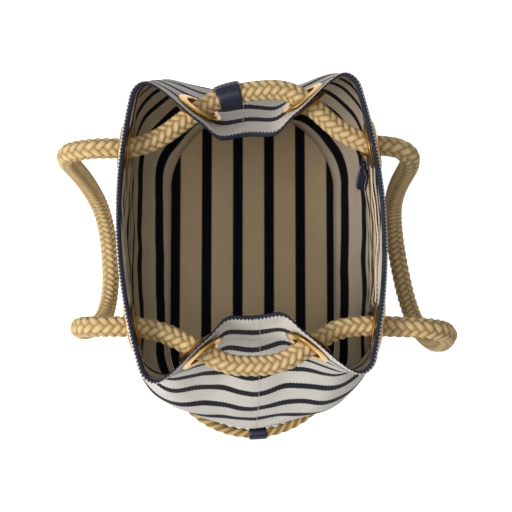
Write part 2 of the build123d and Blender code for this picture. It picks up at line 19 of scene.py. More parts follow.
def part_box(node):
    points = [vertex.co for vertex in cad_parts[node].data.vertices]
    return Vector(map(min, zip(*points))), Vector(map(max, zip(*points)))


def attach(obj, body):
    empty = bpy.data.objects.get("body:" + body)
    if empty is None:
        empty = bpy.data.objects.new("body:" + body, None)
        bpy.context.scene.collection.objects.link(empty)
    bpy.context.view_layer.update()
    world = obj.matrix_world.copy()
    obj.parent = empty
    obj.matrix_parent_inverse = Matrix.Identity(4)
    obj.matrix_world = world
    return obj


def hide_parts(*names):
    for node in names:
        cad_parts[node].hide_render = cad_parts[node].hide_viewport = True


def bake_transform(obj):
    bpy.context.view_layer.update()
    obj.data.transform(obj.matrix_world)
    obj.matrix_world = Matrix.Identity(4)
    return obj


logging.basicConfig(level=logging.INFO, format="%(message)s")
LOG = logging.getLogger("tote_bag")
MM = 0.001
UP = np.array((0, 0, 1.0))
Points = Sequence[tuple[float, float, float]]

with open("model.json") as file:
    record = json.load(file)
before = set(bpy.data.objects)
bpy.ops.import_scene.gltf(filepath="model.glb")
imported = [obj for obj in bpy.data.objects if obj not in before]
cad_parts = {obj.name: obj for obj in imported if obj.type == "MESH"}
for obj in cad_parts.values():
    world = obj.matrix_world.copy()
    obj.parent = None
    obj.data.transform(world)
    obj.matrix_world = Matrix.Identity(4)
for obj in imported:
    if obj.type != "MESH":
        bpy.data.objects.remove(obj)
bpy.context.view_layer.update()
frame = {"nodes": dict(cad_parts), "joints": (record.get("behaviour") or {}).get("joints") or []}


class Body(Enum):
    """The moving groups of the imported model."""

    BAG = "bag"
    FRONT_HANDLE = "front_handle"
    BACK_HANDLE = "back_handle"
    ZIP_SLIDER = "zip_slider"
    ZIP_PULL = "zip_pull"


class Slot(Enum):
    """The record's material slots."""

    CANVAS = "striped_canvas"
    TAPE = "binding_tape"
    POCKET = "pocket_cloth"
    BOARD = "base_board"
    ROPE = "rope"
    THIN_ROPE = "thin_rope"
    LEATHER = "leather"
    BRASS = "brass"
    ZIP_TAPE = "zipper_tape"


# ---------------------------------------------------------------- materials

MATH, NOISE, WAVE, RANGE, MIX = (
    "ShaderNodeMath", "ShaderNodeTexNoise", "ShaderNodeTexWave", "ShaderNodeMapRange", "ShaderNodeMix",
)
ADD, MULTIPLY, COSINE, PINGPONG = ({"operation": name} for name in ("ADD", "MULTIPLY", "COSINE", "PINGPONG"))
COLOUR = {"data_type": "RGBA"}
# A colour mix's sockets: the second colour's share, the two colours, and the result.
SHARE, FIRST, SECOND, MIXED = 0, 6, 7, 2


def linear(colour: str) -> tuple[float, float, float, float]:
    """Turns an sRGB hex colour into a linear RGBA colour.

    Args:
        colour: six hex digits, such as "d8d2c4".

    Returns:
        Red, green, blue and an alpha of 1.
    """
    parts = [int(colour[i : i + 2], 16) / 255 for i in (0, 2, 4)]
    values = [c / 12.92 if c <= 0.04045 else ((c + 0.055) / 1.055) ** 2.4 for c in parts]
    return (values[0], values[1], values[2], 1.0)


def wire(tree: bpy.types.NodeTree, node: bpy.types.Node, inputs: dict[Any, Any] | Sequence[Any]) -> None:
    """Sets or links a node's inputs.

    Args:
        tree: the node tree that it is in.
        node: the node.
        inputs: socket names or numbers with their values, or just values for the first sockets. A value is
            a number, a colour, an output socket, or a node that stands for its first output.
    """
    pairs = inputs.items() if isinstance(inputs, dict) else enumerate(inputs)
    for key, value in pairs:
        value = value.outputs[0] if isinstance(value, bpy.types.Node) else value
        if isinstance(value, bpy.types.NodeSocket):
            tree.links.new(value, node.inputs[key])
        else:
            node.inputs[key].default_value = value


def add_node(
    tree: bpy.types.NodeTree,
    kind: str,
    settings: dict[str, Any] | None = None,
    inputs: dict[Any, Any] | Sequence[Any] = (),
) -> bpy.types.Node:
    """Adds a node, sets its properties, and sets or links its inputs.

    Args:
        tree: the material's or world's node tree.
        kind: the node's type, such as "ShaderNodeMath".
        settings: property names and values.
        inputs: what wire takes.

    Returns:
        The new node.
    """
    node = tree.nodes.new(kind)
    for name, value in (settings or {}).items():
        setattr(node, name, value)
    wire(tree, node, inputs)
    return node


@dataclass(frozen=True)
class Finish:
    """What every finish shares: a name, a roughness and the shader that it feeds."""

    name: str
    roughness: float = 0.8

    def start(self) -> tuple[bpy.types.Material, bpy.types.NodeTree, bpy.types.Node]:
        """Makes an empty material with one principled shader.

        Returns:
            The material, its node tree and the shader.
        """
        material = bpy.data.materials.new(self.name)
        material.use_nodes = True
        tree = material.node_tree
        shader = tree.nodes["Principled BSDF"]
        wire(tree, shader, {"Roughness": self.roughness})
        return material, tree, shader

    def shaded(self, tree: Any, colour: Any, level: Any) -> Any:
        """Makes a colour lighter or darker by a level, and returns the socket that gives it."""
        grey = add_node(tree, "ShaderNodeCombineColor", None, (level, level, level))
        multiply = {**COLOUR, "blend_type": "MULTIPLY"}
        return add_node(tree, MIX, multiply, {SHARE: 1.0, FIRST: colour, SECOND: grey}).outputs[MIXED]


@dataclass(frozen=True)
class StripedCanvas(Finish):
    """Yarn-dyed cotton canvas, plain woven: matt, thready, with stripes whose edges step with the weave."""

    ground: str = "cfc9bf"
    # painted shade: the warm colour that the same canvas takes in the bag's shaded inside
    lining: str = "e6cfa9"
    stripe: str = "0f121d"
    crest_highlight_navy: str = "2e323f"  # paler navy: a painted highlight on the rim's crest
    pitch: float = 33 * MM
    half_width: float = 5.3 * MM
    blur: float = 0.2 * MM  # how soft the stripe's edge is
    tooth: float = 3.4 * MM  # one step of the woven stripe's edge
    tooth_depth: float = 0.95
    thread: float = 1.5 * MM  # coarser than the real 0.6 mm, so that the weave shows
    slubs: tuple[float, float, float] = (70.0, 900.0, 1.0)  # uneven yarns in a metre, along and across
    slub_shade: float = 0.26
    patch_shade: float = 0.16
    darkest: float = 0.79
    sheen: float = 0.03

    def build(self) -> bpy.types.Material:
        """Makes the material.

        The attribute "cloth" gives metres along and across the stripes, and the share of a painted shade tint
        inside, or below 0 for a painted highlight.
        """
        material, tree, shader = self.start()
        cloth = add_node(tree, "ShaderNodeAttribute", {"attribute_name": "cloth"}).outputs["Vector"]
        along, across, side = add_node(tree, "ShaderNodeSeparateXYZ", None, (cloth,)).outputs

        distance = add_node(tree, MATH, PINGPONG, (across, self.pitch / 2))
        teeth = add_node(tree, MATH, PINGPONG, (along, self.tooth / 2))
        steps = add_node(tree, MATH, MULTIPLY, (teeth, self.tooth_depth))
        edge = add_node(tree, MATH, ADD, (distance, steps))
        reach = self.half_width + self.tooth * self.tooth_depth / 4
        mask = add_node(tree, RANGE, {"clamp": True}, (edge, reach - self.blur, reach + self.blur, 1.0, 0.0))

        slubs = add_node(tree, "ShaderNodeVectorMath", MULTIPLY, (cloth, self.slubs))
        yarn = add_node(tree, NOISE, None, {"Vector": slubs, "Scale": 1.0, "Detail": 3.0})
        patches = add_node(tree, NOISE, None, {"Vector": cloth, "Scale": 22.0, "Detail": 4.0})
        yarn_part = add_node(tree, MATH, MULTIPLY, (yarn, self.slub_shade))
        patch_part = add_node(tree, MATH, MULTIPLY, (patches, self.patch_shade))
        shade = add_node(tree, MATH, ADD, (yarn_part, patch_part))
        level = add_node(tree, MATH, ADD, (shade, self.darkest))

        # The ground turns towards the painted shade tint by the attribute's third value: half on the inner
        # walls, all on the floor.
        grounds = {SHARE: side, FIRST: linear(self.ground), SECOND: linear(self.lining)}
        ground = add_node(tree, MIX, COLOUR, grounds).outputs[MIXED]
        # On the rim's crest the navy turns paler in yarn-noise patches: a painted highlight.
        folded = add_node(tree, MATH, MULTIPLY, (side, -1.0))
        fold = add_node(tree, MATH, {"operation": "MAXIMUM"}, (folded, 0.0))
        paler_tone = add_node(tree, MATH, MULTIPLY, (fold, yarn))
        darks = {SHARE: paler_tone, FIRST: linear(self.stripe), SECOND: linear(self.crest_highlight_navy)}
        dark = add_node(tree, MIX, COLOUR, darks).outputs[MIXED]
        plain = add_node(tree, MIX, COLOUR, {SHARE: mask, FIRST: ground, SECOND: dark}).outputs[MIXED]

        warp_turn = add_node(tree, MATH, MULTIPLY, (along, 2 * math.pi / self.thread))
        weft_turn = add_node(tree, MATH, MULTIPLY, (across, 2 * math.pi / self.thread))
        warp = add_node(tree, MATH, COSINE, (warp_turn,))
        weft = add_node(tree, MATH, COSINE, (weft_turn,))
        crossing = add_node(tree, MATH, MULTIPLY, (warp, weft))
        half = add_node(tree, MATH, MULTIPLY, (crossing, 0.5))
        weave = add_node(tree, MATH, ADD, (half, 0.5))
        height = add_node(tree, MATH, ADD, (weave, yarn))
        relief = {"Height": height, "Strength": 0.5, "Distance": 0.25 * MM}
        wire(tree, shader, {
            "Base Color": self.shaded(tree, plain, level),
            "Normal": add_node(tree, "ShaderNodeBump", None, relief),
            "Sheen Weight": self.sheen,
            "Specular IOR Level": 0.15,
        })
        return material


@dataclass(frozen=True)
class WovenTape(Finish):
    """Cotton twill tape: matt, with fine slanting ribs."""

    colour: str = "1b2033"
    rib: float = 1.3 * MM  # coarser than the real 0.5 mm, so that the ribs show
    rib_colour: str = "2f364d"

    def build(self) -> bpy.types.Material:
        """Makes the material, whose ribs slant across the tape."""
        material, tree, shader = self.start()
        place = add_node(tree, "ShaderNodeTexCoord").outputs["Object"]
        slant = {"Vector": place, "Rotation": (0.6, 0.5, 0.8)}
        turned = add_node(tree, "ShaderNodeMapping", None, slant)
        ribs = {"Vector": turned, "Scale": 0.32 / self.rib, "Distortion": 0.4}
        wave = add_node(tree, WAVE, None, ribs).outputs["Fac"]
        colours = {SHARE: wave, FIRST: linear(self.colour), SECOND: linear(self.rib_colour)}
        relief = {"Height": wave, "Strength": 0.5, "Distance": 0.2 * MM}
        wire(tree, shader, {
            "Base Color": add_node(tree, MIX, COLOUR, colours).outputs[MIXED],
            "Normal": add_node(tree, "ShaderNodeBump", None, relief),
            "Sheen Weight": 0.1,
        })
        return material


@dataclass(frozen=True)
class CottonRope(Finish):
    """Unbleached cotton rope: soft spun yarns in plaited strands, with painted shade in the gaps between
    them.
    """

    # Crown and gap colours: painted light on the strands' crowns and painted shade in the gaps between them.
    high: str = "dabc87"
    low: str = "6b5023"
    yarns: float = 5.0  # yarns side by side in one strand
    # painted shade at the edges of the yarns in a strand
    groove_shade: float = 0.1
    tone_shade: float = 0.12
    fibre_shade: float = 0.22
    darkest: float = 0.72

    def build(self) -> bpy.types.Material:
        """Makes the material. The attribute "strand" gives across, height and tone, each in 0 to 1; height
        sets painted light and shade.
        """
        material, tree, shader = self.start()
        strand = add_node(tree, "ShaderNodeAttribute", {"attribute_name": "strand"}).outputs["Vector"]
        across, height, tone = add_node(tree, "ShaderNodeSeparateXYZ", None, (strand,)).outputs
        place = add_node(tree, "ShaderNodeTexCoord").outputs["Object"]
        fibres = add_node(tree, NOISE, None, {"Vector": place, "Scale": 1100.0, "Detail": 3.0})
        blotch = add_node(tree, NOISE, None, {"Vector": place, "Scale": 90.0, "Detail": 2.0})

        # Darker at each yarn's edges: painted shade between the yarns.
        turns = add_node(tree, MATH, MULTIPLY, (across, 2 * math.pi * self.yarns))
        wave = add_node(tree, MATH, COSINE, (turns,))
        half = add_node(tree, MATH, MULTIPLY, (wave, -0.5))
        groove = add_node(tree, MATH, ADD, (half, 0.5))
        # Low colour in the gaps and high on the crowns: painted shade and painted light.
        rise = add_node(tree, MATH, {"operation": "POWER"}, (height, 0.75))
        colours = {SHARE: rise, FIRST: linear(self.low), SECOND: linear(self.high)}
        plain = add_node(tree, MIX, COLOUR, colours).outputs[MIXED]
        grooves = add_node(tree, MATH, MULTIPLY, (groove, self.groove_shade))
        uneven = add_node(tree, MATH, ADD, (tone, blotch))
        tones = add_node(tree, MATH, MULTIPLY, (uneven, self.tone_shade))
        specks = add_node(tree, MATH, MULTIPLY, (fibres, self.fibre_shade))
        coarse = add_node(tree, MATH, ADD, (grooves, tones))
        fine = add_node(tree, MATH, ADD, (specks, self.darkest))
        level = add_node(tree, MATH, ADD, (coarse, fine))
        depth = add_node(tree, MATH, MULTIPLY, (groove, 0.7))
        surface = add_node(tree, MATH, ADD, (depth, fibres))
        relief = {"Height": surface, "Strength": 0.6, "Distance": 0.35 * MM}
        wire(tree, shader, {
            "Base Color": self.shaded(tree, plain, level),
            "Normal": add_node(tree, "ShaderNodeBump", None, relief),
            "Sheen Weight": 0.05,
            "Specular IOR Level": 0.15,
        })
        return material


@dataclass(frozen=True)
class NappaLeather(Finish):
    """Smooth dyed cow leather: a faint pebble grain with a soft gloss, paler where it is rubbed."""

    colour: str = "131829"
    paler_tone: str = "252c44"
    pebble: float = 1.1 * MM

    def build(self) -> bpy.types.Material:
        """Makes the material from a cell pattern for the pebbles and a cloud for the wear."""
        material, tree, shader = self.start()
        place = add_node(tree, "ShaderNodeTexCoord").outputs["Object"]
        pebbles = {"Vector": place, "Scale": 1 / self.pebble}
        cells = add_node(tree, "ShaderNodeTexVoronoi", None, pebbles).outputs["Distance"]
        wear = add_node(tree, NOISE, None, {"Vector": place, "Scale": 120.0, "Detail": 5.0})
        amount = add_node(tree, RANGE, None, (wear, 0.45, 0.75, 0.0, 0.6))
        colours = {SHARE: amount, FIRST: linear(self.colour), SECOND: linear(self.paler_tone)}
        relief = {"Height": cells, "Strength": 0.35, "Distance": 0.15 * MM}
        wire(tree, shader, {
            "Base Color": add_node(tree, MIX, COLOUR, colours).outputs[MIXED],
            "Normal": add_node(tree, "ShaderNodeBump", None, relief),
        })
        return material


@dataclass(frozen=True)
class PolishedBrass(Finish):
    """Pressed brass, polished and handled: warm, with fine scratches and dull patches."""

    colour: str = "d2a95e"
    dull: str = "a5803f"
    dullness: float = 0.2  # how much rougher the dull patches are

    def build(self) -> bpy.types.Material:
        """Makes the material, whose patches are both darker and rougher."""
        material, tree, shader = self.start()
        place = add_node(tree, "ShaderNodeTexCoord").outputs["Object"]
        cloud = add_node(tree, NOISE, None, {"Vector": place, "Scale": 160.0, "Detail": 5.0})
        colours = {SHARE: cloud, FIRST: linear(self.colour), SECOND: linear(self.dull)}
        scratches = add_node(tree, NOISE, None, {"Vector": place, "Scale": 1500.0, "Detail": 2.0})
        relief = {"Height": scratches, "Strength": 0.15, "Distance": 0.05 * MM}
        patches = (cloud, 0.3, 0.8, self.roughness, self.roughness + self.dullness)
        wire(tree, shader, {
            "Base Color": add_node(tree, MIX, COLOUR, colours).outputs[MIXED],
            "Roughness": add_node(tree, RANGE, None, patches),
            "Normal": add_node(tree, "ShaderNodeBump", None, relief),
            "Metallic": 1.0,
        })
        return material


@dataclass(frozen=True)
class SewingThread(Finish):
    """Waxed cotton thread: matt, with painted shade between its plies as fine bands."""

    colour: str = "d9d2c0"
    ply: float = 0.7 * MM
    gap_shade: float = 0.7  # painted shade: how dark the thread is between its plies

    def build(self) -> bpy.types.Material:
        """Makes the material, banded with painted shade like twisted plies."""
        material, tree, shader = self.start()
        place = add_node(tree, "ShaderNodeTexCoord").outputs["Object"]
        plies = {"Vector": place, "Scale": 0.32 / self.ply, "Distortion": 1.0}
        wave = add_node(tree, WAVE, None, plies).outputs["Fac"]
        light = linear(self.colour)
        dark = tuple(value * self.gap_shade for value in light[:3]) + light[3:]
        colours = add_node(tree, MIX, COLOUR, {SHARE: wave, FIRST: dark, SECOND: light})
        wire(tree, shader, {"Base Color": colours.outputs[MIXED]})
        return material


@dataclass(frozen=True)
class PressedBoard(Finish):
    """Grey fibre board that stiffens the base: matt and flecked."""

    colour: str = "6b675f"
    fleck: str = "8d887e"

    def build(self) -> bpy.types.Material:
        """Makes the material, with pale flecks that stand out a little."""
        material, tree, shader = self.start()
        place = add_node(tree, "ShaderNodeTexCoord").outputs["Object"]
        flecks = add_node(tree, NOISE, None, {"Vector": place, "Scale": 700.0, "Detail": 4.0})
        colours = {SHARE: flecks, FIRST: linear(self.colour), SECOND: linear(self.fleck)}
        relief = {"Height": flecks, "Strength": 0.3, "Distance": 0.1 * MM}
        wire(tree, shader, {
            "Base Color": add_node(tree, MIX, COLOUR, colours).outputs[MIXED],
            "Normal": add_node(tree, "ShaderNodeBump", None, relief),
        })
        return material


class Wardrobe:
    """Every finish of the bag, made once."""

    def __init__(self) -> None:
        """Builds the materials."""
        self.canvas = StripedCanvas("striped_cotton_canvas", 0.88).build()
        self.tape = WovenTape("cotton_twill_tape", 0.85).build()
        self.zip_tape = WovenTape("zip_tape_twill", 0.8, "151a2b", 1.0 * MM).build()
        self.rope = CottonRope("plaited_cotton_rope", 0.85).build()
        # The thin rope's crown and gap colours: painted light and painted shade.
        self.thin_rope = CottonRope("laid_cotton_rope", 0.85, "d3b174", "5e431a", 3.0).build()
        self.leather = NappaLeather("navy_nappa_leather", 0.42).build()
        self.brass = PolishedBrass("polished_brass", 0.24).build()
        self.pale_thread = SewingThread("pale_cotton_thread", 0.8).build()
        self.dark_thread = SewingThread("navy_cotton_thread", 0.8, "2c3450").build()
        self.board = PressedBoard("pressed_fibre_board", 0.9).build()


# ---------------------------------------------------------------- mesh helpers


@dataclass
class Mesh:
    """Vertices and faces that grow as pieces are added, with one vector attribute."""

    vertices: list[np.ndarray] = field(default_factory=list)
    values: list[np.ndarray] = field(default_factory=list)
    faces: list[tuple[int, ...]] = field(default_factory=list)
    count: int = 0

    def add(
        self, vertices: np.ndarray, faces: Sequence[Sequence[int]], values: np.ndarray | None = None
    ) -> None:
        """Adds vertices, the faces on them, and the attribute's values.

        Args:
            vertices: an array of points.
            faces: tuples of indices into those points.
            values: the attribute at each point, or None for zeros.
        """
        vertices = np.asarray(vertices, dtype=float).reshape(-1, 3)
        self.vertices.append(vertices)
        self.values.append(np.zeros_like(vertices) if values is None else values.reshape(-1, 3))
        self.faces.extend(tuple(int(i) + self.count for i in face) for face in faces)
        self.count += len(vertices)

    def build(
        self, name: str, material: bpy.types.Material, attribute: str = "cloth", sharp: float = 50
    ) -> bpy.types.Object:
        """Makes the object, without loose points, its normals facing out.

        Args:
            name: the piece's name.
            material: its finish.
            attribute: the attribute's name.
            sharp: the angle in degrees above which an edge stays sharp.

        Returns:
            The new object, in the scene.
        """
        points = np.concatenate(self.vertices)
        values = np.concatenate(self.values)
        used = np.unique(np.concatenate([np.array(face) for face in self.faces]))
        place = np.full(len(points), -1)
        place[used] = np.arange(len(used))
        data = bpy.data.meshes.new(name)
        data.from_pydata(points[used].tolist(), [], [tuple(place[list(face)]) for face in self.faces])
        layer = data.attributes.new(attribute, "FLOAT_VECTOR", "POINT")
        layer.data.foreach_set("vector", values[used].astype(np.float32).ravel())
        shape = bmesh.new()
        shape.from_mesh(data)
        bmesh.ops.remove_doubles(shape, verts=shape.verts, dist=0.001 * MM)
        bmesh.ops.recalc_face_normals(shape, faces=shape.faces)
        shape.to_mesh(data)
        shape.free()
        data.polygons.foreach_set("use_smooth", [True] * len(data.polygons))
        data.set_sharp_from_angle(angle=math.radians(sharp))
        data.materials.append(material)
        piece = bpy.data.objects.new(name, data)
        bpy.context.scene.collection.objects.link(piece)
        return piece


def add_shell(
    mesh: Mesh,
    outer: np.ndarray,
    inner: np.ndarray,
    outer_values: np.ndarray | None = None,
    inner_values: np.ndarray | None = None,
    keep: np.ndarray | None = None,
    around: bool = False,
) -> None:
    """Adds a closed sheet between two grids of points, with walls round its edges and its holes.

    Args:
        mesh: the mesh that it goes into.
        outer: points of one face, columns by rows by 3.
        inner: points of the other face.
        outer_values: the attribute on the outer face.
        inner_values: the attribute on the inner face.
        keep: which cells exist, or None for all.
        around: whether the last column joins the first.
    """
    columns, rows = outer.shape[:2]
    cells = columns if around else columns - 1
    keep = np.ones((cells, rows - 1), bool) if keep is None else keep
    count = columns * rows
    faces = []
    for i in range(cells):
        for j in range(rows - 1):
            if not keep[i, j]:
                continue
            right = (i + 1) % columns
            a, b, c, d = i * rows + j, right * rows + j, right * rows + j + 1, i * rows + j + 1
            faces.append((a, b, c, d))
            faces.append((d + count, c + count, b + count, a + count))
            for p, q, ni, nj in ((a, b, i, j - 1), (b, c, i + 1, j), (c, d, i, j + 1), (d, a, i - 1, j)):
                inside = 0 <= nj < rows - 1 and (around or 0 <= ni < cells)
                if not (inside and keep[ni % cells, nj]):
                    faces.append((q, p, p + count, q + count))
    zeros = np.zeros_like(outer)
    values = [zeros if v is None else v for v in (outer_values, inner_values)]
    points = np.concatenate([outer.reshape(-1, 3), inner.reshape(-1, 3)])
    mesh.add(points, faces, np.concatenate([v.reshape(-1, 3) for v in values]))


def distance_along(line: np.ndarray) -> np.ndarray:
    """The distance along a line to each of its points."""
    return np.concatenate([[0], np.cumsum(np.linalg.norm(np.diff(line, axis=0), axis=1))])


def values_at(places: np.ndarray, along: np.ndarray, values: np.ndarray) -> np.ndarray:
    """Vectors at places along a line, between those that are given at each of its points."""
    return np.stack([np.interp(places, along, values[:, k]) for k in range(3)], axis=-1)


def circle(count: int) -> np.ndarray:
    """Evenly spaced angles round a circle."""
    return np.arange(count) * 2 * math.pi / count


def spokes_round(angles: np.ndarray, first: np.ndarray, second: np.ndarray) -> np.ndarray:
    """Directions at each angle between two rows of normals, angles by rows by 3."""
    return np.cos(angles)[:, None, None] * first + np.sin(angles)[:, None, None] * second


def ring_faces(sides: int, rows: int, closed: bool) -> list[tuple[int, ...]]:
    """The faces of a grid of points, sides by rows, whose last side joins the first.

    Args:
        sides: how many points go round.
        rows: how many points go along.
        closed: whether the last row joins the first too.

    Returns:
        Four indices for each face.
    """
    faces = []
    for i in range(sides):
        this, following = i * rows, (i + 1) % sides * rows
        for j in range(rows if closed else rows - 1):
            k = (j + 1) % rows
            faces.append((this + j, this + k, following + k, following + j))
    return faces


def frames_along(line: np.ndarray) -> tuple[np.ndarray, np.ndarray, np.ndarray]:
    """Carries a frame along a line without twisting it.

    Args:
        line: the points of the line.

    Returns:
        First normals, second normals, and the distance along to each point.
    """
    tangents = np.gradient(line, axis=0)
    tangents /= np.linalg.norm(tangents, axis=1, keepdims=True)
    start = np.cross(tangents[0], (0, 0, 1.0))
    if np.linalg.norm(start) < 0.1:
        start = np.cross(tangents[0], (1.0, 0, 0))
    normals = [start / np.linalg.norm(start)]
    for tangent in tangents[1:]:
        carried = normals[-1] - tangent * np.dot(normals[-1], tangent)
        normals.append(carried / np.linalg.norm(carried))
    first = np.array(normals)
    return first, np.cross(tangents, first), distance_along(line)


def resampled(line: np.ndarray, step: float) -> np.ndarray:
    """The same line with its points about a step apart."""
    along = distance_along(line)
    places = np.linspace(0, along[-1], max(2, round(along[-1] / step) + 1))
    return values_at(places, along, line)


def spline_line(name: str, points: Points) -> np.ndarray:
    """Follows a smooth spline whose control points are a route's points.

    Args:
        name: a name for the short-lived curve.
        points: the route's points, in metres.

    Returns:
        The points of the curve, close together.
    """
    data = bpy.data.curves.new(name, "CURVE")
    data.dimensions = "3D"
    data.resolution_u = 48
    spline = data.splines.new("NURBS")
    spline.points.add(len(points) - 1)
    for spot, point in zip(spline.points, points):
        spot.co = (*point, 1.0)
    spline.order_u = 3
    spline.use_endpoint_u = True
    curve = bpy.data.objects.new(name, data)
    bpy.context.scene.collection.objects.link(curve)
    bpy.context.view_layer.update()
    flat = bpy.data.meshes.new_from_object(curve)
    line = np.array([v.co[:] for v in flat.vertices])
    bpy.data.objects.remove(curve)
    bpy.data.curves.remove(data)
    bpy.data.meshes.remove(flat)
    return line


def dress(piece: bpy.types.Object, slot: Slot, *nodes: str, body: Body | None = Body.BAG) -> bpy.types.Object:
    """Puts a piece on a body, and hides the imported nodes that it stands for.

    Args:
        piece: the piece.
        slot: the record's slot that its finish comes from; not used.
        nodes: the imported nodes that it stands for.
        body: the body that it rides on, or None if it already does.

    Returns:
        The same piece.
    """
    if body is not None:
        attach(piece, body.value)
    if nodes:
        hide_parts(*nodes)
    LOG.info("%s: %d faces", piece.name, len(piece.data.polygons))
    return piece


def corners(node: str) -> tuple[np.ndarray, np.ndarray]:
    """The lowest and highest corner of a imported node."""
    low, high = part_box(node)
    return np.array(low), np.array(high)


def refinish(node: bpy.types.Object, material: bpy.types.Material) -> None:
    """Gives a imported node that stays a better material."""
    node.data.materials.clear()
    node.data.materials.append(material)


def node_points(node: bpy.types.Object) -> np.ndarray:
    """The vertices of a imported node."""
    points = np.empty(len(node.data.vertices) * 3)
    node.data.vertices.foreach_get("co", points)
    return points.reshape(-1, 3)


def unit(vector: np.ndarray) -> np.ndarray:
    """The same direction with a length of 1."""
    return vector / np.linalg.norm(vector)


def smoothstep(low: float, high: float, value: np.ndarray) -> np.ndarray:
    """Rises smoothly from 0 at low to 1 at high."""
    share = np.clip((value - low) / (high - low), 0, 1)
    return share * share * (3 - 2 * share)


def quarter_round(distance: np.ndarray, radius: float) -> np.ndarray:
    """The height, in 0 to 1, of a rounded edge at a distance in from it."""
    share = np.clip(distance / radius, 0, 1)
    return np.sqrt(share * (2 - share))


def bell(offset: np.ndarray, width: float) -> np.ndarray:
    """A smooth hump, 1 at no offset and nearly 0 two widths away."""
    return np.exp(-((offset / width) ** 2))


def add_stitches(
    mesh: Mesh,
    line: np.ndarray,
    normals: np.ndarray,
    length: float = 3.0 * MM,
    gap: float = 1.3 * MM,
    radius: float = 0.36 * MM,
) -> None:
    """Adds a row of separate stitches that lie on a surface and dip into it at both ends.

    Args:
        mesh: the mesh that they go into.
        line: the seam's points, on the surface.
        normals: the surface's normals there.
        length: one stitch.
        gap: from one stitch to the next.
        radius: the thread's radius.
    """
    along = distance_along(line)
    count = int(along[-1] / (length + gap))
    if not count:
        return
    rings, sides = 5, 6
    share = np.linspace(0, 1, rings)
    starts = (np.arange(count) + 0.5) * along[-1] / count - length / 2
    spots = starts[:, None] + share[None, :] * length
    place, up = values_at(spots, along, line), values_at(spots, along, normals)
    up /= np.linalg.norm(up, axis=-1, keepdims=True)
    ahead = place[:, -1:] - place[:, :1]
    side = np.cross(np.broadcast_to(ahead, up.shape), up)
    side /= np.linalg.norm(side, axis=-1, keepdims=True)
    arch = np.sin(math.pi * share)
    thick = (radius * (0.45 + 0.55 * arch))[None, :, None, None]
    lift = (radius * (1.1 * arch - 0.35))[None, :, None]
    angles = circle(sides)
    round_part = up[:, :, None] * np.sin(angles)[None, None, :, None]
    flat_part = side[:, :, None] * np.cos(angles)[None, None, :, None]
    points = (place + up * lift)[:, :, None] + thick * (round_part + flat_part)
    faces = []
    for stitch in range(count):
        base = stitch * rings * sides
        for ring in range(rings - 1):
            for k in range(sides):
                a, b = base + ring * sides + k, base + ring * sides + (k + 1) % sides
                faces.append((a, b, b + sides, a + sides))
        faces.append(tuple(base + k for k in range(sides)))
        faces.append(tuple(base + (rings - 1) * sides + k for k in range(sides)))
    mesh.add(points, faces)


def add_lathe(mesh: Mesh, origin: np.ndarray, axis: np.ndarray, profile: np.ndarray, sides: int = 72) -> None:
    """Adds a ring: a closed outline turned about an axis.

    Args:
        mesh: the mesh that it goes into.
        origin: where the axis starts.
        axis: its direction.
        profile: the outline's radii and heights.
        sides: how many times the outline is repeated round the ring.
    """
    across = unit(np.cross(axis, (0, 0, 1.0)))
    spokes = spokes_round(circle(sides), across, np.cross(axis, across))
    points = origin + profile[None, :, :1] * spokes + profile[None, :, 1:] * axis
    mesh.add(points, ring_faces(sides, len(profile), True))


def rounded_outline(points: Points, steps: int = 4) -> np.ndarray:
    """Rounds a closed outline of (radius, height) points by a spline through their midpoints."""
    spots = np.array(points, dtype=float)
    result = []
    for index, spot in enumerate(spots):
        before = (spots[index - 1] + spot) / 2
        after = (spots[(index + 1) % len(spots)] + spot) / 2
        for step in range(steps):
            t = step / steps
            result.append((1 - t) ** 2 * before + 2 * t * (1 - t) * spot + t * t * after)
    return np.array(result)


def chamfered_box(sizes: Sequence[float], chamfer: float) -> tuple[np.ndarray, list[tuple[int, ...]]]:
    """A box with its edges cut off.

    Args:
        sizes: the three side lengths.
        chamfer: how far the edges are cut back.

    Returns:
        Its points and its faces.
    """
    half = np.array(sizes) / 2
    points = []
    for signs in np.ndindex(2, 2, 2):
        sign = np.array(signs) * 2 - 1
        for axis in range(3):
            corner = half - chamfer
            corner[axis] = half[axis]
            points.append(corner * sign)
    shape = bmesh.new()
    for point in points:
        shape.verts.new(point)
    shape.verts.index_update()
    bmesh.ops.convex_hull(shape, input=shape.verts)
    faces = [tuple(vert.index for vert in face.verts) for face in shape.faces]
    shape.free()
    return np.array(points), faces


# ---------------------------------------------------------------- the wall's shape


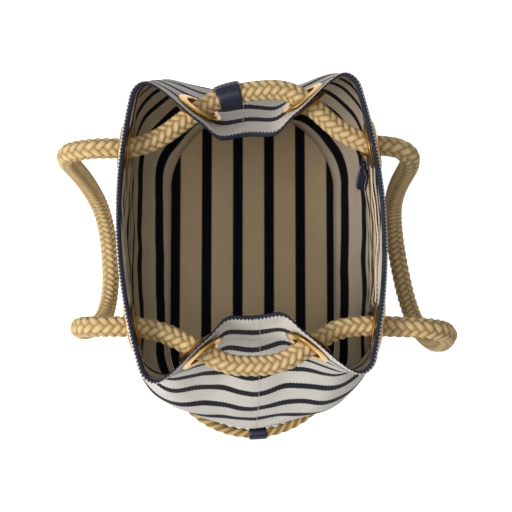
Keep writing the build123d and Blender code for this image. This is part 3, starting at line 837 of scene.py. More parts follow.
@dataclass
class BagShape:
    """The soft wall: a rounded box at each level, whose gussets fold in and whose sides bow out."""

    height: float = 275 * MM
    rim_dip: float = 23 * MM  # how far the rim drops at the middle of each gusset
    rim_dip_half_width: float = 60 * MM
    fold_flat: float = 0.11  # how flat the gusset's fold is at its middle, and how steep at its sides
    fold_share: float = 0.41  # the part of the half width that this covers, short of the eyelets
    base_half_length: float = 168 * MM
    base_half_width: float = 88 * MM
    layer: float = 1.5 * MM
    layer_gap: float = 0.3 * MM
    girth: float = 975 * MM
    trim: float = 12.8 * MM  # the height of the thin rope round the base

    def __post_init__(self) -> None:
        """Works out the levels and their slopes."""
        rise = self.height - self.trim
        shares = np.array([0.0, 0.08, 0.2, 0.52, 0.77, 1.0])
        self.heights = np.concatenate([[0.0], self.trim + rise * shares])
        # Centre, half length, half width, corner radius, pinch, bulge, in millimetres, and twist in degrees.
        self.table = np.array(
            [
                (0, 168, 88, 88, 0, 0, 0),
                (0, 168, 88, 88, 0, 0, 0),
                (-4, 165, 104.8, 78, 1, 4, 0.2),
                (-10, 163, 112, 62, 4, 8, 0.6),
                (-24, 145.4, 104.4, 34, 15, 14, 1.3),
                (-15, 137.4, 99.3, 20, 38, 17, 2.0),
                (-5, 131, 95, 14, 62, 19, 2.6),
            ]
        ) * np.array([MM] * 6 + [math.pi / 180])
        gaps = np.diff(self.heights)[:, None]
        slopes = np.diff(self.table, axis=0) / gaps
        same = slopes[:-1] * slopes[1:] > 0
        total = np.where(same, slopes[:-1] + slopes[1:], 1)
        middle = np.where(same, 2 * slopes[:-1] * slopes[1:] / total, 0)
        self.slopes = np.concatenate([slopes[:1] * 0, middle, slopes[-1:]])

    def level(self, height: np.ndarray) -> list[np.ndarray]:
        """The seven values at any height, on a smooth curve through the levels."""
        row = np.clip(np.searchsorted(self.heights, height, side="right") - 1, 0, len(self.heights) - 2)
        gap = self.heights[row + 1] - self.heights[row]
        t = (np.clip(height, 0, self.height) - self.heights[row]) / gap
        low, high = self.table[row], self.table[row + 1]
        t, gap = t[..., None], gap[..., None]
        value = (1 + 2 * t) * (1 - t) ** 2 * low + t * t * (3 - 2 * t) * high
        lean = t * (1 - t) ** 2 * self.slopes[row] - t * t * (1 - t) * self.slopes[row + 1]
        value = value + gap * lean
        return [value[..., k] for k in range(7)]

    def outline(self, share: Any, height: Any, inset: Any) -> np.ndarray:
        """Points of the even wall, before it creases.

        Args:
            share: how far round the bag, from 0 to 1.
            height: above the ground.
            inset: how far in from the outer face.

        Returns:
            An array of points.
        """
        share, height, inset = np.broadcast_arrays(share, height, inset)
        centre, half_length, half_width, corner, pinch, bulge, twist = self.level(height)
        length, width = half_length - inset, half_width - inset
        corner = np.maximum(corner - inset, 1 * MM)
        end_run, side_run = np.maximum(width - corner, 0), np.maximum(length - corner, 0)
        arc_run = corner * math.pi / 2
        turn = (share % 1.0) * 4
        quadrant = np.minimum(turn.astype(int), 3)
        along = turn - quadrant
        along = np.where(quadrant % 2 == 1, 1 - along, along)
        run = along * (end_run + arc_run + side_run)
        angle = np.clip((run - end_run) / corner, 0, math.pi / 2)
        x = length - corner + corner * np.cos(angle) - np.maximum(run - end_run - arc_run, 0)
        y = np.minimum(run, end_run) + corner * np.sin(angle)
        across = np.minimum(y / width, 1)
        flank = np.minimum(across / self.fold_share, 1)
        across = across - self.fold_flat * np.sin(math.pi * flank) ** 2
        x = x - pinch * (1 + np.cos(math.pi * across)) / 2
        y = y + bulge * (1 - np.minimum(x / length, 1) ** 2) * (y / width) ** 2
        x = np.where((quadrant == 1) | (quadrant == 2), -x, x)
        y = np.where(quadrant >= 2, -y, y)
        turned_x = x * np.cos(twist) - y * np.sin(twist) + centre
        turned_y = x * np.sin(twist) + y * np.cos(twist)
        return np.stack([turned_x, turned_y, height], axis=-1)

    def rim(self, share: Any) -> np.ndarray:
        """The rim's height, lower at the middle of each gusset."""
        share = np.asarray(share, dtype=float)
        y = self.outline(share, self.height, 0)[..., 1]
        near = np.minimum(np.abs(y) / self.rim_dip_half_width, 1)
        return self.height - self.rim_dip * (1 + np.cos(math.pi * near)) / 2

    def crease(self, share: Any, height: Any) -> np.ndarray:
        """How far the soft cloth gives way inwards, in broad folds that die out at the hem and the base."""
        share, height = np.broadcast_arrays(share, height)
        up = height / self.height
        # Waves round the bag, waves up it, phase and depth in millimetres.
        waves = (
            (5, 1.3, 0.4, 0.8), (9, -2.1, 1.9, 0.6), (14, 0.9, 4.0, 0.45),
            (22, 3.1, 2.2, 0.28), (31, -4.6, 0.9, 0.18), (3, 4.3, 5.1, 0.5),
        )
        total = sum(
            depth * MM * np.sin(2 * math.pi * (around * share + rise * up) + phase)
            for around, rise, phase, depth in waves
        )
        hem = smoothstep(-30 * MM, -8 * MM, height - self.rim(share))
        window = smoothstep(16 * MM, 55 * MM, height) * (1 - hem)
        seam = np.abs((share + 0.25) % 0.5 - 0.25) * self.girth
        # A gusset's middle stands out beside two hollows half way up, and its seam is a ridge with a groove.
        pulled = smoothstep(50 * MM, 120 * MM, height) * (1 - smoothstep(170 * MM, 225 * MM, height))
        sway = np.cos(2 * math.pi * seam / (95 * MM)) * bell(seam, 58 * MM)
        total = total - 3.6 * MM * sway * pulled
        ridge = -0.7 * MM * bell(seam, 3.2 * MM) + 0.5 * MM * bell(seam, 0.9 * MM)
        return total * window + ridge

    def point(self, share: Any, height: Any, inset: Any) -> np.ndarray:
        """Points of the creased wall."""
        return self.outline(share, height, inset + self.crease(share, height))

    def outward(self, share: Any, height: Any) -> np.ndarray:
        """The wall's outward normals."""
        nudge = 0.5 * MM
        share, height = np.broadcast_arrays(np.asarray(share, dtype=float), np.asarray(height, dtype=float))
        low = np.clip(height - nudge, 0, None)
        around = self.outline(share + 1e-4, height, 0) - self.outline(share - 1e-4, height, 0)
        up = self.outline(share, low + 2 * nudge, 0) - self.outline(share, low, 0)
        normal = np.cross(around, up)
        return normal / np.linalg.norm(normal, axis=-1, keepdims=True)

    def patch_grid(
        self, low: Sequence[float], high: Sequence[float], columns: int, rows: int
    ) -> tuple[np.ndarray, np.ndarray, np.ndarray]:
        """Lays a grid on the back panel.

        Args:
            low: its lowest x and z, as the first and last of the numbers.
            high: its highest.
            columns: how many points along x.
            rows: how many points up.

        Returns:
            The columns' x, the rows' height, and the share at every point.
        """
        x = np.linspace(low[0], high[0], columns)[:, None]
        height = np.linspace(low[-1], high[-1], rows)[None, :]
        tries = np.linspace(0.1, 0.4, 301)
        share = np.empty((columns, rows))
        for row in range(rows):
            level = self.outline(tries, height[0, row], 0)[:, 0]
            share[:, row] = np.interp(-x[:, 0], -level, tries)
        return x, height, share

    def cloth_values(self, share: np.ndarray, down: np.ndarray, state: Any) -> np.ndarray:
        """The canvas attribute: metres along the stripes and across them, and the share of a painted shade
        tint inside, or below 0 for a painted highlight.
        """
        along = np.broadcast_to(share * self.girth, down.shape)
        return np.stack([along, down, state + 0 * down], axis=-1)


@dataclass
class Eyelet:
    """One eyelet's place: its centre on the wall's outer face, and its axis out of the bag."""

    name: str
    centre: np.ndarray
    axis: np.ndarray

    @classmethod
    def read(cls, name: str, node: bpy.types.Object) -> "Eyelet":
        """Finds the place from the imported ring."""
        flange_face = 2.5 * MM
        points = node_points(node)
        middle = points.mean(axis=0)
        _, _, axes = np.linalg.svd(points - middle)
        axis = axes[2]
        across = (points - middle) @ axes[:2].T
        middle = middle + ((across.min(axis=0) + across.max(axis=0)) / 2) @ axes[:2]
        radial = np.linalg.norm((points - middle) @ axes[:2].T, axis=1)
        along = (points - middle) @ axis
        if along[radial > 20 * MM].mean() < along[radial < 15 * MM].mean():
            axis, along = -axis, -along
        return cls(name, middle + axis * (along.max() - flange_face), axis)

    def reach(self, points: np.ndarray) -> np.ndarray:
        """How far points are from the eyelet's axis, and far away if they aren't near its wall."""
        offset = points - self.centre
        along = offset @ self.axis
        radial = np.linalg.norm(offset - along[..., None] * self.axis, axis=-1)
        return np.where(np.abs(along) < 16 * MM, radial, 1.0)


@dataclass
class Bag:
    """What the sub-assemblies share."""

    shape: BagShape
    finishes: Wardrobe
    nodes: dict[str, bpy.types.Object]
    joints: dict[str, dict[str, Any]]
    eyelets: list[Eyelet]

    def leather_sleeve(
        self,
        name: str,
        node: str,
        line: np.ndarray,
        spokes: np.ndarray,
        outer: np.ndarray,
        hollow: float,
        columns: Sequence[int],
        stitch: Sequence[float],
        short: int,
    ) -> None:
        """Makes a leather sleeve round a rope, with rows of stitches along it.

        Args:
            name: how the two pieces' names start.
            node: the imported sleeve.
            line: the rope's middle under the sleeve.
            spokes: directions out of it, sides by rows by 3.
            outer: the sleeve's outer radius on those spokes.
            hollow: its inner radius.
            columns: the sides that the rows of stitches run along.
            stitch: a stitch's length, the gap to the next and, if it isn't the usual one, its radius.
            short: how many rows the stitches stop short of each end.
        """
        surface = line[None] + spokes * outer
        shell, thread = Mesh(), Mesh()
        add_shell(shell, surface, line[None] + spokes * hollow, around=True)
        for column in columns:
            rows = (column, slice(short, -short))
            add_stitches(thread, surface[rows], spokes[rows], *stitch)
        dress(shell.build(name + "_sleeve", self.finishes.leather), Slot.LEATHER, node)
        dress(thread.build(name + "_stitches", self.finishes.dark_thread), Slot.LEATHER)

    def free_of_eyelets(self, points: np.ndarray) -> np.ndarray:
        """Which cells of a grid of points lie clear of the eyelets' barrels."""
        middles = (points[1:, 1:] + points[:-1, 1:] + points[1:, :-1] + points[:-1, :-1]) / 4
        keep = np.ones(middles.shape[:2], bool)
        for eyelet in self.eyelets:
            keep &= eyelet.reach(middles) > Eyelets.cloth_hole
        return keep


# ---------------------------------------------------------------- ropes


@dataclass
class Ropes:
    """One endless plaited rope: two hanging handles, and the runs through the gussets' eyelets."""

    bag: Bag
    diameter: float = 18 * MM
    strands: int = 6
    plait: float = 7.4 * MM  # one plait along the rope
    ring_step: float = 0.9 * MM
    sides: int = 72
    hollow: float = 0.19  # how deep the gaps between strands are, as a share of the radius
    proud: float = 0.03  # how far the strands' crowns stand out of it
    # Where a handle starts to turn on its hinge and where it has wholly turned: how far out, and how high.
    bend: Points = ((0.145, 0.248), (0.1616, 0.188))
    sleeve_y: float = -20 * MM
    sleeve_half_length: float = 10.5 * MM

    front_route: Points = (
        (-0.0780, -0.1100, 0.2435), (-0.0778, -0.1320, 0.2465), (-0.0774, -0.1475, 0.2415),
        (-0.0770, -0.1615, 0.2305), (-0.0765, -0.1672, 0.2120), (-0.0758, -0.1670, 0.1860),
        (-0.0730, -0.1630, 0.1480), (-0.0660, -0.1580, 0.0980), (-0.0510, -0.1520, 0.0550),
        (-0.0200, -0.1480, 0.0270), (0.0220, -0.1460, 0.0240), (0.0530, -0.1480, 0.0500),
        (0.0670, -0.1500, 0.0940), (0.0740, -0.1520, 0.1450), (0.0765, -0.1525, 0.1860),
        (0.0772, -0.1520, 0.2120), (0.0774, -0.1480, 0.2295), (0.0778, -0.1385, 0.2415),
        (0.0780, -0.1240, 0.2465), (0.0780, -0.1020, 0.2435),
    )
    back_route: Points = (
        (-0.0813, 0.1050, 0.2435), (-0.0795, 0.1240, 0.2462), (-0.0762, 0.1350, 0.2405),
        (-0.0725, 0.1410, 0.2280), (-0.0692, 0.1420, 0.2100), (-0.0655, 0.1400, 0.1840),
        (-0.0620, 0.1385, 0.1500), (-0.0540, 0.1385, 0.1040), (-0.0370, 0.1420, 0.0660),
        (-0.0060, 0.1490, 0.0420), (0.0350, 0.1570, 0.0420), (0.0660, 0.1640, 0.0680),
        (0.0820, 0.1710, 0.1100), (0.0880, 0.1740, 0.1580), (0.0850, 0.1745, 0.1960),
        (0.0825, 0.1725, 0.2180), (0.0805, 0.1640, 0.2355), (0.0792, 0.1490, 0.2455),
        (0.0782, 0.1290, 0.2470), (0.0775, 0.1070, 0.2435),
    )
    right_route: Points = (
        (0.0780, -0.1035, 0.2435), (0.0795, -0.0820, 0.2440), (0.0970, -0.0460, 0.2435),
        (0.1105, -0.0220, 0.2430), (0.1120, 0.0020, 0.2425), (0.1095, 0.0270, 0.2430),
        (0.0940, 0.0500, 0.2435), (0.0760, 0.0800, 0.2440), (0.0775, 0.1085, 0.2435),
    )
    left_route: Points = (
        (-0.0780, -0.1115, 0.2435), (-0.0795, -0.0900, 0.2435), (-0.1105, -0.0490, 0.2445),
        (-0.1240, -0.0270, 0.2450), (-0.1300, 0.0040, 0.2450), (-0.1305, 0.0310, 0.2450),
        (-0.1180, 0.0510, 0.2445), (-0.0870, 0.0840, 0.2435), (-0.0813, 0.1065, 0.2435),
    )

    def plaited(self, name: str, route: Points) -> tuple[bpy.types.Object, np.ndarray]:
        """Makes a plaited rope along a route.

        Args:
            name: the piece's name.
            route: the route's points.

        Returns:
            The piece, and the points that it follows.
        """
        line = resampled(spline_line(name + "_line", route), self.ring_step)
        first, second, along = frames_along(line)
        theta = circle(self.sides)
        turn = self.strands * theta[:, None] / (2 * math.pi)
        right, left = turn + along[None, :] / self.plait, turn - along[None, :] / self.plait
        column, row = np.floor(right), np.floor(left)
        over = (column + row) % 4 < 2
        across = np.where(over, right - column, left - row)
        run = np.where(over, (left + column) % 4 / 2, ((right + row) % 4 - 2) / 2)
        lane = np.where(over, column % self.strands, row % self.strands + 0.5)
        dome = np.sqrt(np.clip(1 - (2 * across - 1) ** 2, 0, 1))
        height = dome * np.clip(np.sin(math.pi * np.clip(run, 0, 1)), 0, 1) ** 0.4
        # A fixed scatter, so that no two strands beside each other have the same tone.
        tone = (np.sin(lane * 12.9898 + column * 3.1 + row * 7.7) * 43758.5453) % 1
        radius = self.diameter / 2 * (1 - self.hollow + (self.hollow + self.proud) * height)
        points = line[None] + spokes_round(theta, first, second) * radius[..., None]
        rings = len(line)
        faces = ring_faces(self.sides, rings, False)
        faces.extend(tuple(i * rings + end for i in range(self.sides)) for end in (0, rings - 1))
        mesh = Mesh()
        # The strand's height also sets the rope's painted light and shade.
        mesh.add(points, faces, np.stack([across, height, tone], axis=-1))
        return mesh.build(name, self.bag.finishes.rope, "strand", 80), line

    def handle(self, name: str, node: str, route: Points) -> None:
        """Makes a hanging handle along its route, and hides the imported handle.

        Args:
            name: the piece's name.
            node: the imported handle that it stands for.
            route: from one eyelet to the other.
        """
        piece, line = self.plaited(name, route)
        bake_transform(piece)
        dress(piece, Slot.ROPE, node, body=None)

    def sleeve(self, line: np.ndarray) -> None:
        """Makes the leather sleeve that hides the rope's joint, with its stitched seam."""
        first, second, along = frames_along(line)
        middle = along[np.abs(line[:, 1] - self.sleeve_y).argmin()]
        rows = np.linspace(-1, 1, 25)
        spots = middle + rows * self.sleeve_half_length
        place, one, two = (values_at(spots, along, values) for values in (line, first, second))
        angles = circle(64)
        edge = quarter_round((1 - np.abs(rows)) * self.sleeve_half_length, 1.2 * MM)
        body = 10.3 * MM + 0.9 * MM * edge + 0.25 * MM * (1 - rows**2)
        lap = 0.6 * MM * bell(angles - 4.2, 0.16)
        outer = body[None, :, None] + lap[:, None, None]
        lap_sides = (40, 45)
        self.bag.leather_sleeve(
            "rope_join", "rope_sleeve", place, spokes_round(angles, one, two), outer, 9.75 * MM, lap_sides,
            (2.4 * MM, 0.9 * MM), 2,
        )

    def make(self) -> None:
        """Makes the handles, the runs and the sleeve."""
        self.handle("front_rope_handle", "handle_rope_front", self.front_route)
        self.handle("back_rope_handle", "handle_rope_back", self.back_route)
        right, _ = self.plaited("right_rope_run", self.right_route)
        dress(right, Slot.ROPE, "rope_right_run")
        left, line = self.plaited("left_rope_run", self.left_route)
        dress(left, Slot.ROPE, "rope_left_run")
        self.sleeve(line)


# ---------------------------------------------------------------- cloth


@dataclass
class Canvas:
    """The two panels, the facing inside the rim, and the tapes over the side seams."""

    bag: Bag
    columns: int = 200  # on one panel
    rows: int = 104
    fold: float = 2.3 * MM  # the folded rim's radius
    turned_in: float = 2.2 * MM  # how far it reaches down inside
    crest_highlight: float = 1.6  # how strongly its crest takes the painted highlight
    ease: float = 12 * MM  # how far below it the wall starts to thicken
    facing_depth: float = 46 * MM
    tape_width: float = 14 * MM
    flat_width: float = 0.49
    flat_height: float = 0.285
    dipped: float = 0.96  # the part of the flat panel that the dips in its rim leave
    stitch_clear: float = 22.5 * MM  # how far stitches keep from an eyelet's axis

    def panel(self, name: str, node: str, start: float) -> None:
        """Makes one panel, whose top edge folds over into the bag.

        Args:
            name: the piece's name.
            node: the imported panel.
            start: the share where it begins.
        """
        shape, layer = self.bag.shape, self.bag.shape.layer
        share = np.linspace(start, start + 0.5, self.columns)[:, None]
        top = shape.rim(share) - self.fold
        rise = np.linspace(0, 1, self.rows)[None, :] * top
        near = smoothstep(-self.ease, 0, rise - top)
        middle = layer + shape.layer_gap / 2
        swell = near * (self.fold - middle)
        turn = np.linspace(0, math.pi, 9)[None, 1:]
        over = np.broadcast_to(top, (self.columns, 8))
        tail = np.linspace(0, self.turned_in, 3)[None, 1:]
        under = top - tail
        height = np.concatenate([rise, over, under], axis=1)
        lift = np.concatenate([rise * 0, np.sin(turn) + 0 * over, under * 0], axis=1)
        faces = []
        for start_in, radius in ((0.0, self.fold), (layer, self.fold - layer)):
            parts = [start_in - swell, middle - radius * np.cos(turn) + 0 * over, middle + radius + 0 * under]
            face = shape.point(share, height, np.concatenate(parts, axis=1))
            face[..., 2] += lift * radius
            faces.append(face)
        outer = faces[0]
        steps = np.linalg.norm(np.diff(outer, axis=1), axis=-1)
        up = np.concatenate([np.zeros((self.columns, 1)), np.cumsum(steps, axis=1)], axis=1)
        crest = self.rows + 3
        down = up[:, crest : crest + 1] - up
        # The cloth is drawn in at the rim, so that a stripe's edge runs along the crest.
        half = StripedCanvas.pitch / 2
        shown_edge, edge = 5.0 * MM, 1.2 * MM
        squeeze = (half - shown_edge) / (half - edge)
        shown = np.where(down < half, half + (down - half) * squeeze, down)
        # The crest gets a negative value: the painted highlight on the navy.
        crest_highlight = -self.crest_highlight * smoothstep(-6 * MM, -2 * MM, -np.abs(down))
        values = shape.cloth_values(share, shown, crest_highlight)
        # The inner face takes half of the painted shade tint of the bag's inside.
        inside = shape.cloth_values(share, np.maximum(down, 6 * MM), 0.5)
        mesh = Mesh()
        add_shell(mesh, *faces, values, inside, self.bag.free_of_eyelets(outer))
        piece = mesh.build(name, self.bag.finishes.canvas)
        dress(piece, Slot.CANVAS, node)

    def facing(self, name: str, node: str, start: float) -> None:
        """Makes the facing inside the rim, its lower edge turned and stitched.

        Args:
            name: the piece's name.
            node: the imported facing.
            start: the share where it begins.
        """
        shape, layer = self.bag.shape, self.bag.shape.layer
        share = np.linspace(start, start + 0.5, self.columns)[:, None]
        depth = np.linspace(1.5 * MM, self.facing_depth, 30)[None, :]
        height = shape.rim(share) - depth
        near = 1 - smoothstep(2 * MM, self.ease, depth)
        hem = 0.5 * MM * bell(self.facing_depth - depth, 2.2 * MM)
        back = layer + shape.layer_gap + near * 0.3 * MM
        front = back + layer + near * 0.2 * MM + hem
        outer = shape.point(share, height, back + 0 * share)
        inner = shape.point(share, height, front + 0 * share)
        down = np.broadcast_to(depth - 1 * MM, height.shape)
        # The facing takes half of the painted shade tint of the bag's inside.
        values = shape.cloth_values(share, down, 0.5)
        mesh = Mesh()
        add_shell(mesh, outer, inner, values, values, self.bag.free_of_eyelets(inner))
        piece = mesh.build(name, self.bag.finishes.canvas)
        dress(piece, Slot.CANVAS, node)

    def seam_row(self, mesh: Mesh, depth: float, inset: float, side: int) -> None:
        """Adds a row of stitches round the bag, broken at the eyelets.

        Args:
            mesh: the mesh that they go into.
            depth: how far below the rim.
            inset: how far in from the wall's outer face.
            side: 1 outside the bag, -1 inside.
        """
        shape = self.bag.shape
        share = np.linspace(0, 1, 900)
        height = shape.rim(share) - depth
        line = shape.point(share, height, inset)
        normal = shape.outward(share, height) * side
        blocked = np.zeros(len(share), bool)
        for eyelet in self.bag.eyelets:
            blocked |= eyelet.reach(line) < self.stitch_clear
        edges = np.flatnonzero(np.diff(blocked.astype(int)))
        for low, high in zip([0, *(edges + 1)], [*(edges + 1), len(share)]):
            if high - low > 8 and not blocked[low:high].any():
                add_stitches(mesh, line[low:high], normal[low:high])

    def tape(self, name: str, node: str, middle: float) -> None:
        """Makes the tape over a side seam, inside the bag.

        Args:
            name: the piece's name.
            node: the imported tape.
            middle: the seam's share.
        """
        shape = self.bag.shape
        low, high = corners(node)
        half = self.tape_width / 2 / shape.girth
        share = np.linspace(middle - half, middle + half, 9)[:, None]
        height = np.linspace(low[2] + 0.5 * MM, high[2] - 1 * MM, 90)[None, :]
        crown = 0.35 * MM * (1 - ((share - middle) / half) ** 2)
        back = shape.layer + 0.5 * MM
        outer = shape.point(share, height, back)
        inner = shape.point(share, height, back + 0.7 * MM + crown)
        mesh = Mesh()
        add_shell(mesh, outer, inner)
        dress(mesh.build(name, self.bag.finishes.tape), Slot.TAPE, node)
        thread = Mesh()
        heights = height[0, 2:-2]
        for side in (-0.72, 0.72):
            spot = middle + side * half
            line = shape.point(spot, heights, back + 0.9 * MM)
            add_stitches(thread, line, -shape.outward(spot, heights))
        dress(thread.build(name + "_stitches", self.bag.finishes.pale_thread), Slot.TAPE)

    def make(self) -> None:
        """Makes the cloth and its seams."""
        self.panel("canvas_back", "back_panel", 0.0)
        self.panel("canvas_front", "front_panel", 0.5)
        self.facing("facing_back", "rim_facing_back", 0.0)
        self.facing("facing_front", "rim_facing_front", 0.5)
        self.tape("seam_tape_right", "side_seam_tape_right", 0.0)
        self.tape("seam_tape_left", "side_seam_tape_left", 0.5)
        outside, inside, side_seam = Mesh(), Mesh(), Mesh()
        self.seam_row(outside, 7.5 * MM, -0.25 * MM, 1)
        self.seam_row(outside, self.facing_depth - 3 * MM, 0.0, 1)
        self.seam_row(inside, self.facing_depth - 3 * MM, 3.75 * MM, -1)
        shape = self.bag.shape
        for middle in (0.0, 0.5):
            heights = np.linspace(18 * MM, float(shape.rim(middle)) - 12 * MM, 120)
            spot = middle + 4.2 * MM / shape.girth
            add_stitches(side_seam, shape.point(spot, heights, 0.0), shape.outward(spot, heights))
        rows = (("rim_stitches_outside", outside), ("rim_stitches_inside", inside))
        for name, mesh in (*rows, ("side_seam_stitches", side_seam)):
            dress(mesh.build(name, self.bag.finishes.pale_thread), Slot.CANVAS)


# ---------------------------------------------------------------- base


@dataclass
class Base:
    """The oval base: canvas outside and inside a board, and the thin rope round its seam."""

    bag: Bag
    rope_diameter: float = 10 * MM
    rope_gap: float = 0.3 * MM
    lays: int = 30  # turns of the thin rope's strands round the whole base
    sleeve_half_length: float = 9.5 * MM
    stripe_shift: float = 17.8 * MM
    seam_gap: float = 0.35 * MM  # between the floor's edge and the wall

    def plate(self, name: str, node: str, crown: float) -> None:
        """Makes one flat layer of the base.

        Args:
            name: the piece's name.
            node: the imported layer.
            crown: how unevenly the cloth lies on top.
        """
        shape = self.bag.shape
        low, high = corners(node)
        share = np.linspace(0, 1, 240, endpoint=False)[:, None]
        edge = shape.outline(share, 0.0, shape.layer + self.seam_gap)
        reach = np.linspace(0, 1, 56)[None, :, None]
        flat = edge * reach
        x, y = flat[..., 0], flat[..., 1]
        wave = np.sin(x * 61 + 1.1) * np.sin(y * 83 + 0.5) + 0.6 * np.sin(x * 23 - y * 37)
        inward = 1 - reach[..., 0] + 0 * x
        worn_edge = 0.4 * MM * (1 - smoothstep(0, 0.02, inward))
        top, bottom = flat.copy(), flat.copy()
        top[..., 2] = high[2] + crown * wave * smoothstep(0, 0.1, inward) - worn_edge
        bottom[..., 2] = low[2]
        # Both faces take all of the painted shade tint of the bag's inside.
        values = np.stack([x, y - self.stripe_shift, 0 * x + 1], axis=-1)
        mesh = Mesh()
        add_shell(mesh, top, bottom, values, values, around=True)
        piece = mesh.build(name, self.bag.finishes.canvas)
        dress(piece, Slot.CANVAS, node)

    def oval(self, offset: float, count: int) -> tuple[np.ndarray, np.ndarray]:
        """The line round the base at one distance out from the wall.

        Args:
            offset: the distance.
            count: how many points, evenly spaced.

        Returns:
            The points and their outward normals.
        """
        shape = self.bag.shape
        run, radius = shape.base_half_length - shape.base_half_width, shape.base_half_width + offset
        quarter = radius * math.pi / 2
        total = 4 * (run + quarter)
        points, normals = [], []
        for place in np.arange(count) * total / count:
            turn, rest = divmod(place, total / 4)
            along = rest if turn % 2 == 0 else total / 4 - rest
            angle = min(along / radius, math.pi / 2)
            x = run + radius * math.cos(angle) - max(along - quarter, 0)
            y = radius * math.sin(angle)
            signs = ((1, 1), (-1, 1), (-1, -1), (1, -1))[int(turn)]
            points.append((x * signs[0], y * signs[1], 0))
            normals.append((math.cos(angle) * signs[0], math.sin(angle) * signs[1], 0))
        return np.array(points), np.array(normals)

    def thin_rope(self) -> tuple[np.ndarray, np.ndarray]:
        """Makes the laid rope of three strands, and returns its line and normals."""
        low, high = corners("base_rope")
        rings, sides = 900, 36
        line, out = self.oval(self.rope_diameter / 2 + self.rope_gap, rings)
        line[:, 2] = (low[2] + high[2]) / 2
        theta = circle(sides)
        spin = np.arange(rings) * 2 * math.pi * self.lays / rings
        third = 2 * math.pi / 3
        lag = theta[:, None] - spin[None, :]
        angle = lag % third - third / 2
        # Three round strands side by side, as shares of the rope's radius, with soft gaps between them.
        strand, offset, gap_radius = 0.464, 0.536, 0.8
        chord = np.sqrt(np.clip(strand**2 - (offset * np.sin(angle)) ** 2, 0, 1))
        radius = np.maximum(offset * np.cos(angle) + chord, gap_radius)
        lane = np.floor(lag % (2 * math.pi) / third)
        spokes = spokes_round(theta, out, UP)
        points = line[None] + spokes * (radius * self.rope_diameter / 2)[..., None]
        points[..., 2] = np.maximum(points[..., 2], low[2])
        # The strand's height also sets the rope's painted light and shade.
        values = np.stack([angle / third + 0.5, (radius - 0.75) / 0.25, lane / 3], axis=-1)
        mesh = Mesh()
        mesh.add(points, ring_faces(sides, rings, True), values)
        rope = mesh.build("base_trim_rope", self.bag.finishes.thin_rope, "strand", 80)
        dress(rope, Slot.THIN_ROPE, "base_rope")
        return line, out

    def sleeve(self, line: np.ndarray, out: np.ndarray) -> None:
        """Makes the small leather sleeve where the thin rope's ends meet."""
        low, high = corners("base_rope_sleeve")
        right = np.flatnonzero(line[:, 0] > 0)
        middle = right[np.abs(line[right, 1] - (low[1] + high[1]) / 2).argmin()]
        step = np.linalg.norm(line[1] - line[0])
        reach = int(round(self.sleeve_half_length / step))
        picks = np.arange(middle - reach, middle + reach + 1) % len(line)
        place, normal = line[picks], out[picks]
        spokes = spokes_round(circle(40), normal, UP)
        rows = np.linspace(-1, 1, len(picks))
        edge = quarter_round((1 - np.abs(rows)) * self.sleeve_half_length, 1 * MM)
        outer = (5.7 * MM + 0.8 * MM * edge)[None, :, None]
        self.bag.leather_sleeve(
            "base_join", "base_rope_sleeve", place, spokes, outer, 5.3 * MM, (3, 36),
            (2.2 * MM, 0.9 * MM, 0.3 * MM), 1,
        )

    def make(self) -> None:
        """Makes the base."""
        self.plate("canvas_base", "base_panel", 0.0)
        self.plate("base_floor_cloth", "base_lining", 0.45 * MM)
        refinish(self.bag.nodes["base_board"], self.bag.finishes.board)
        self.sleeve(*self.thin_rope())


# ---------------------------------------------------------------- eyelets


@dataclass
class Eyelets:
    """Brass eyelets: a domed flange and barrel outside, a rolled washer inside."""

    bag: Bag
    cloth_hole = 15.8 * MM
    # Radius and height above the wall's outer face, round each ring's section, in millimetres.
    flange: Points = (
        (13.4, -4.4), (13.4, 2.4), (14.4, 3.6), (16.6, 3.5), (19.6, 3.0), (21.5, 2.1), (21.5, 1.2),
        (20.6, 1.1), (14.3, 1.1), (14.3, -4.4),
    )
    washer: Points = (
        (14.4, -4.6), (20.0, -4.6), (20.6, -5.2), (20.2, -5.9), (16.8, -6.5), (14.6, -6.8), (13.3, -6.2),
        (13.3, -5.0),
    )

    def make(self) -> None:
        """Makes both halves of every eyelet."""
        halves = (("flange", "eyelet_", self.flange), ("washer", "eyelet_washer_", self.washer))
        for eyelet in self.bag.eyelets:
            for part, prefix, outline in halves:
                mesh = Mesh()
                add_lathe(mesh, eyelet.centre, eyelet.axis, rounded_outline(outline) * MM)
                ring = mesh.build(f"brass_{part}_{eyelet.name}", self.bag.finishes.brass, sharp=40)
                dress(ring, Slot.BRASS, prefix + eyelet.name)


# ---------------------------------------------------------------- pocket


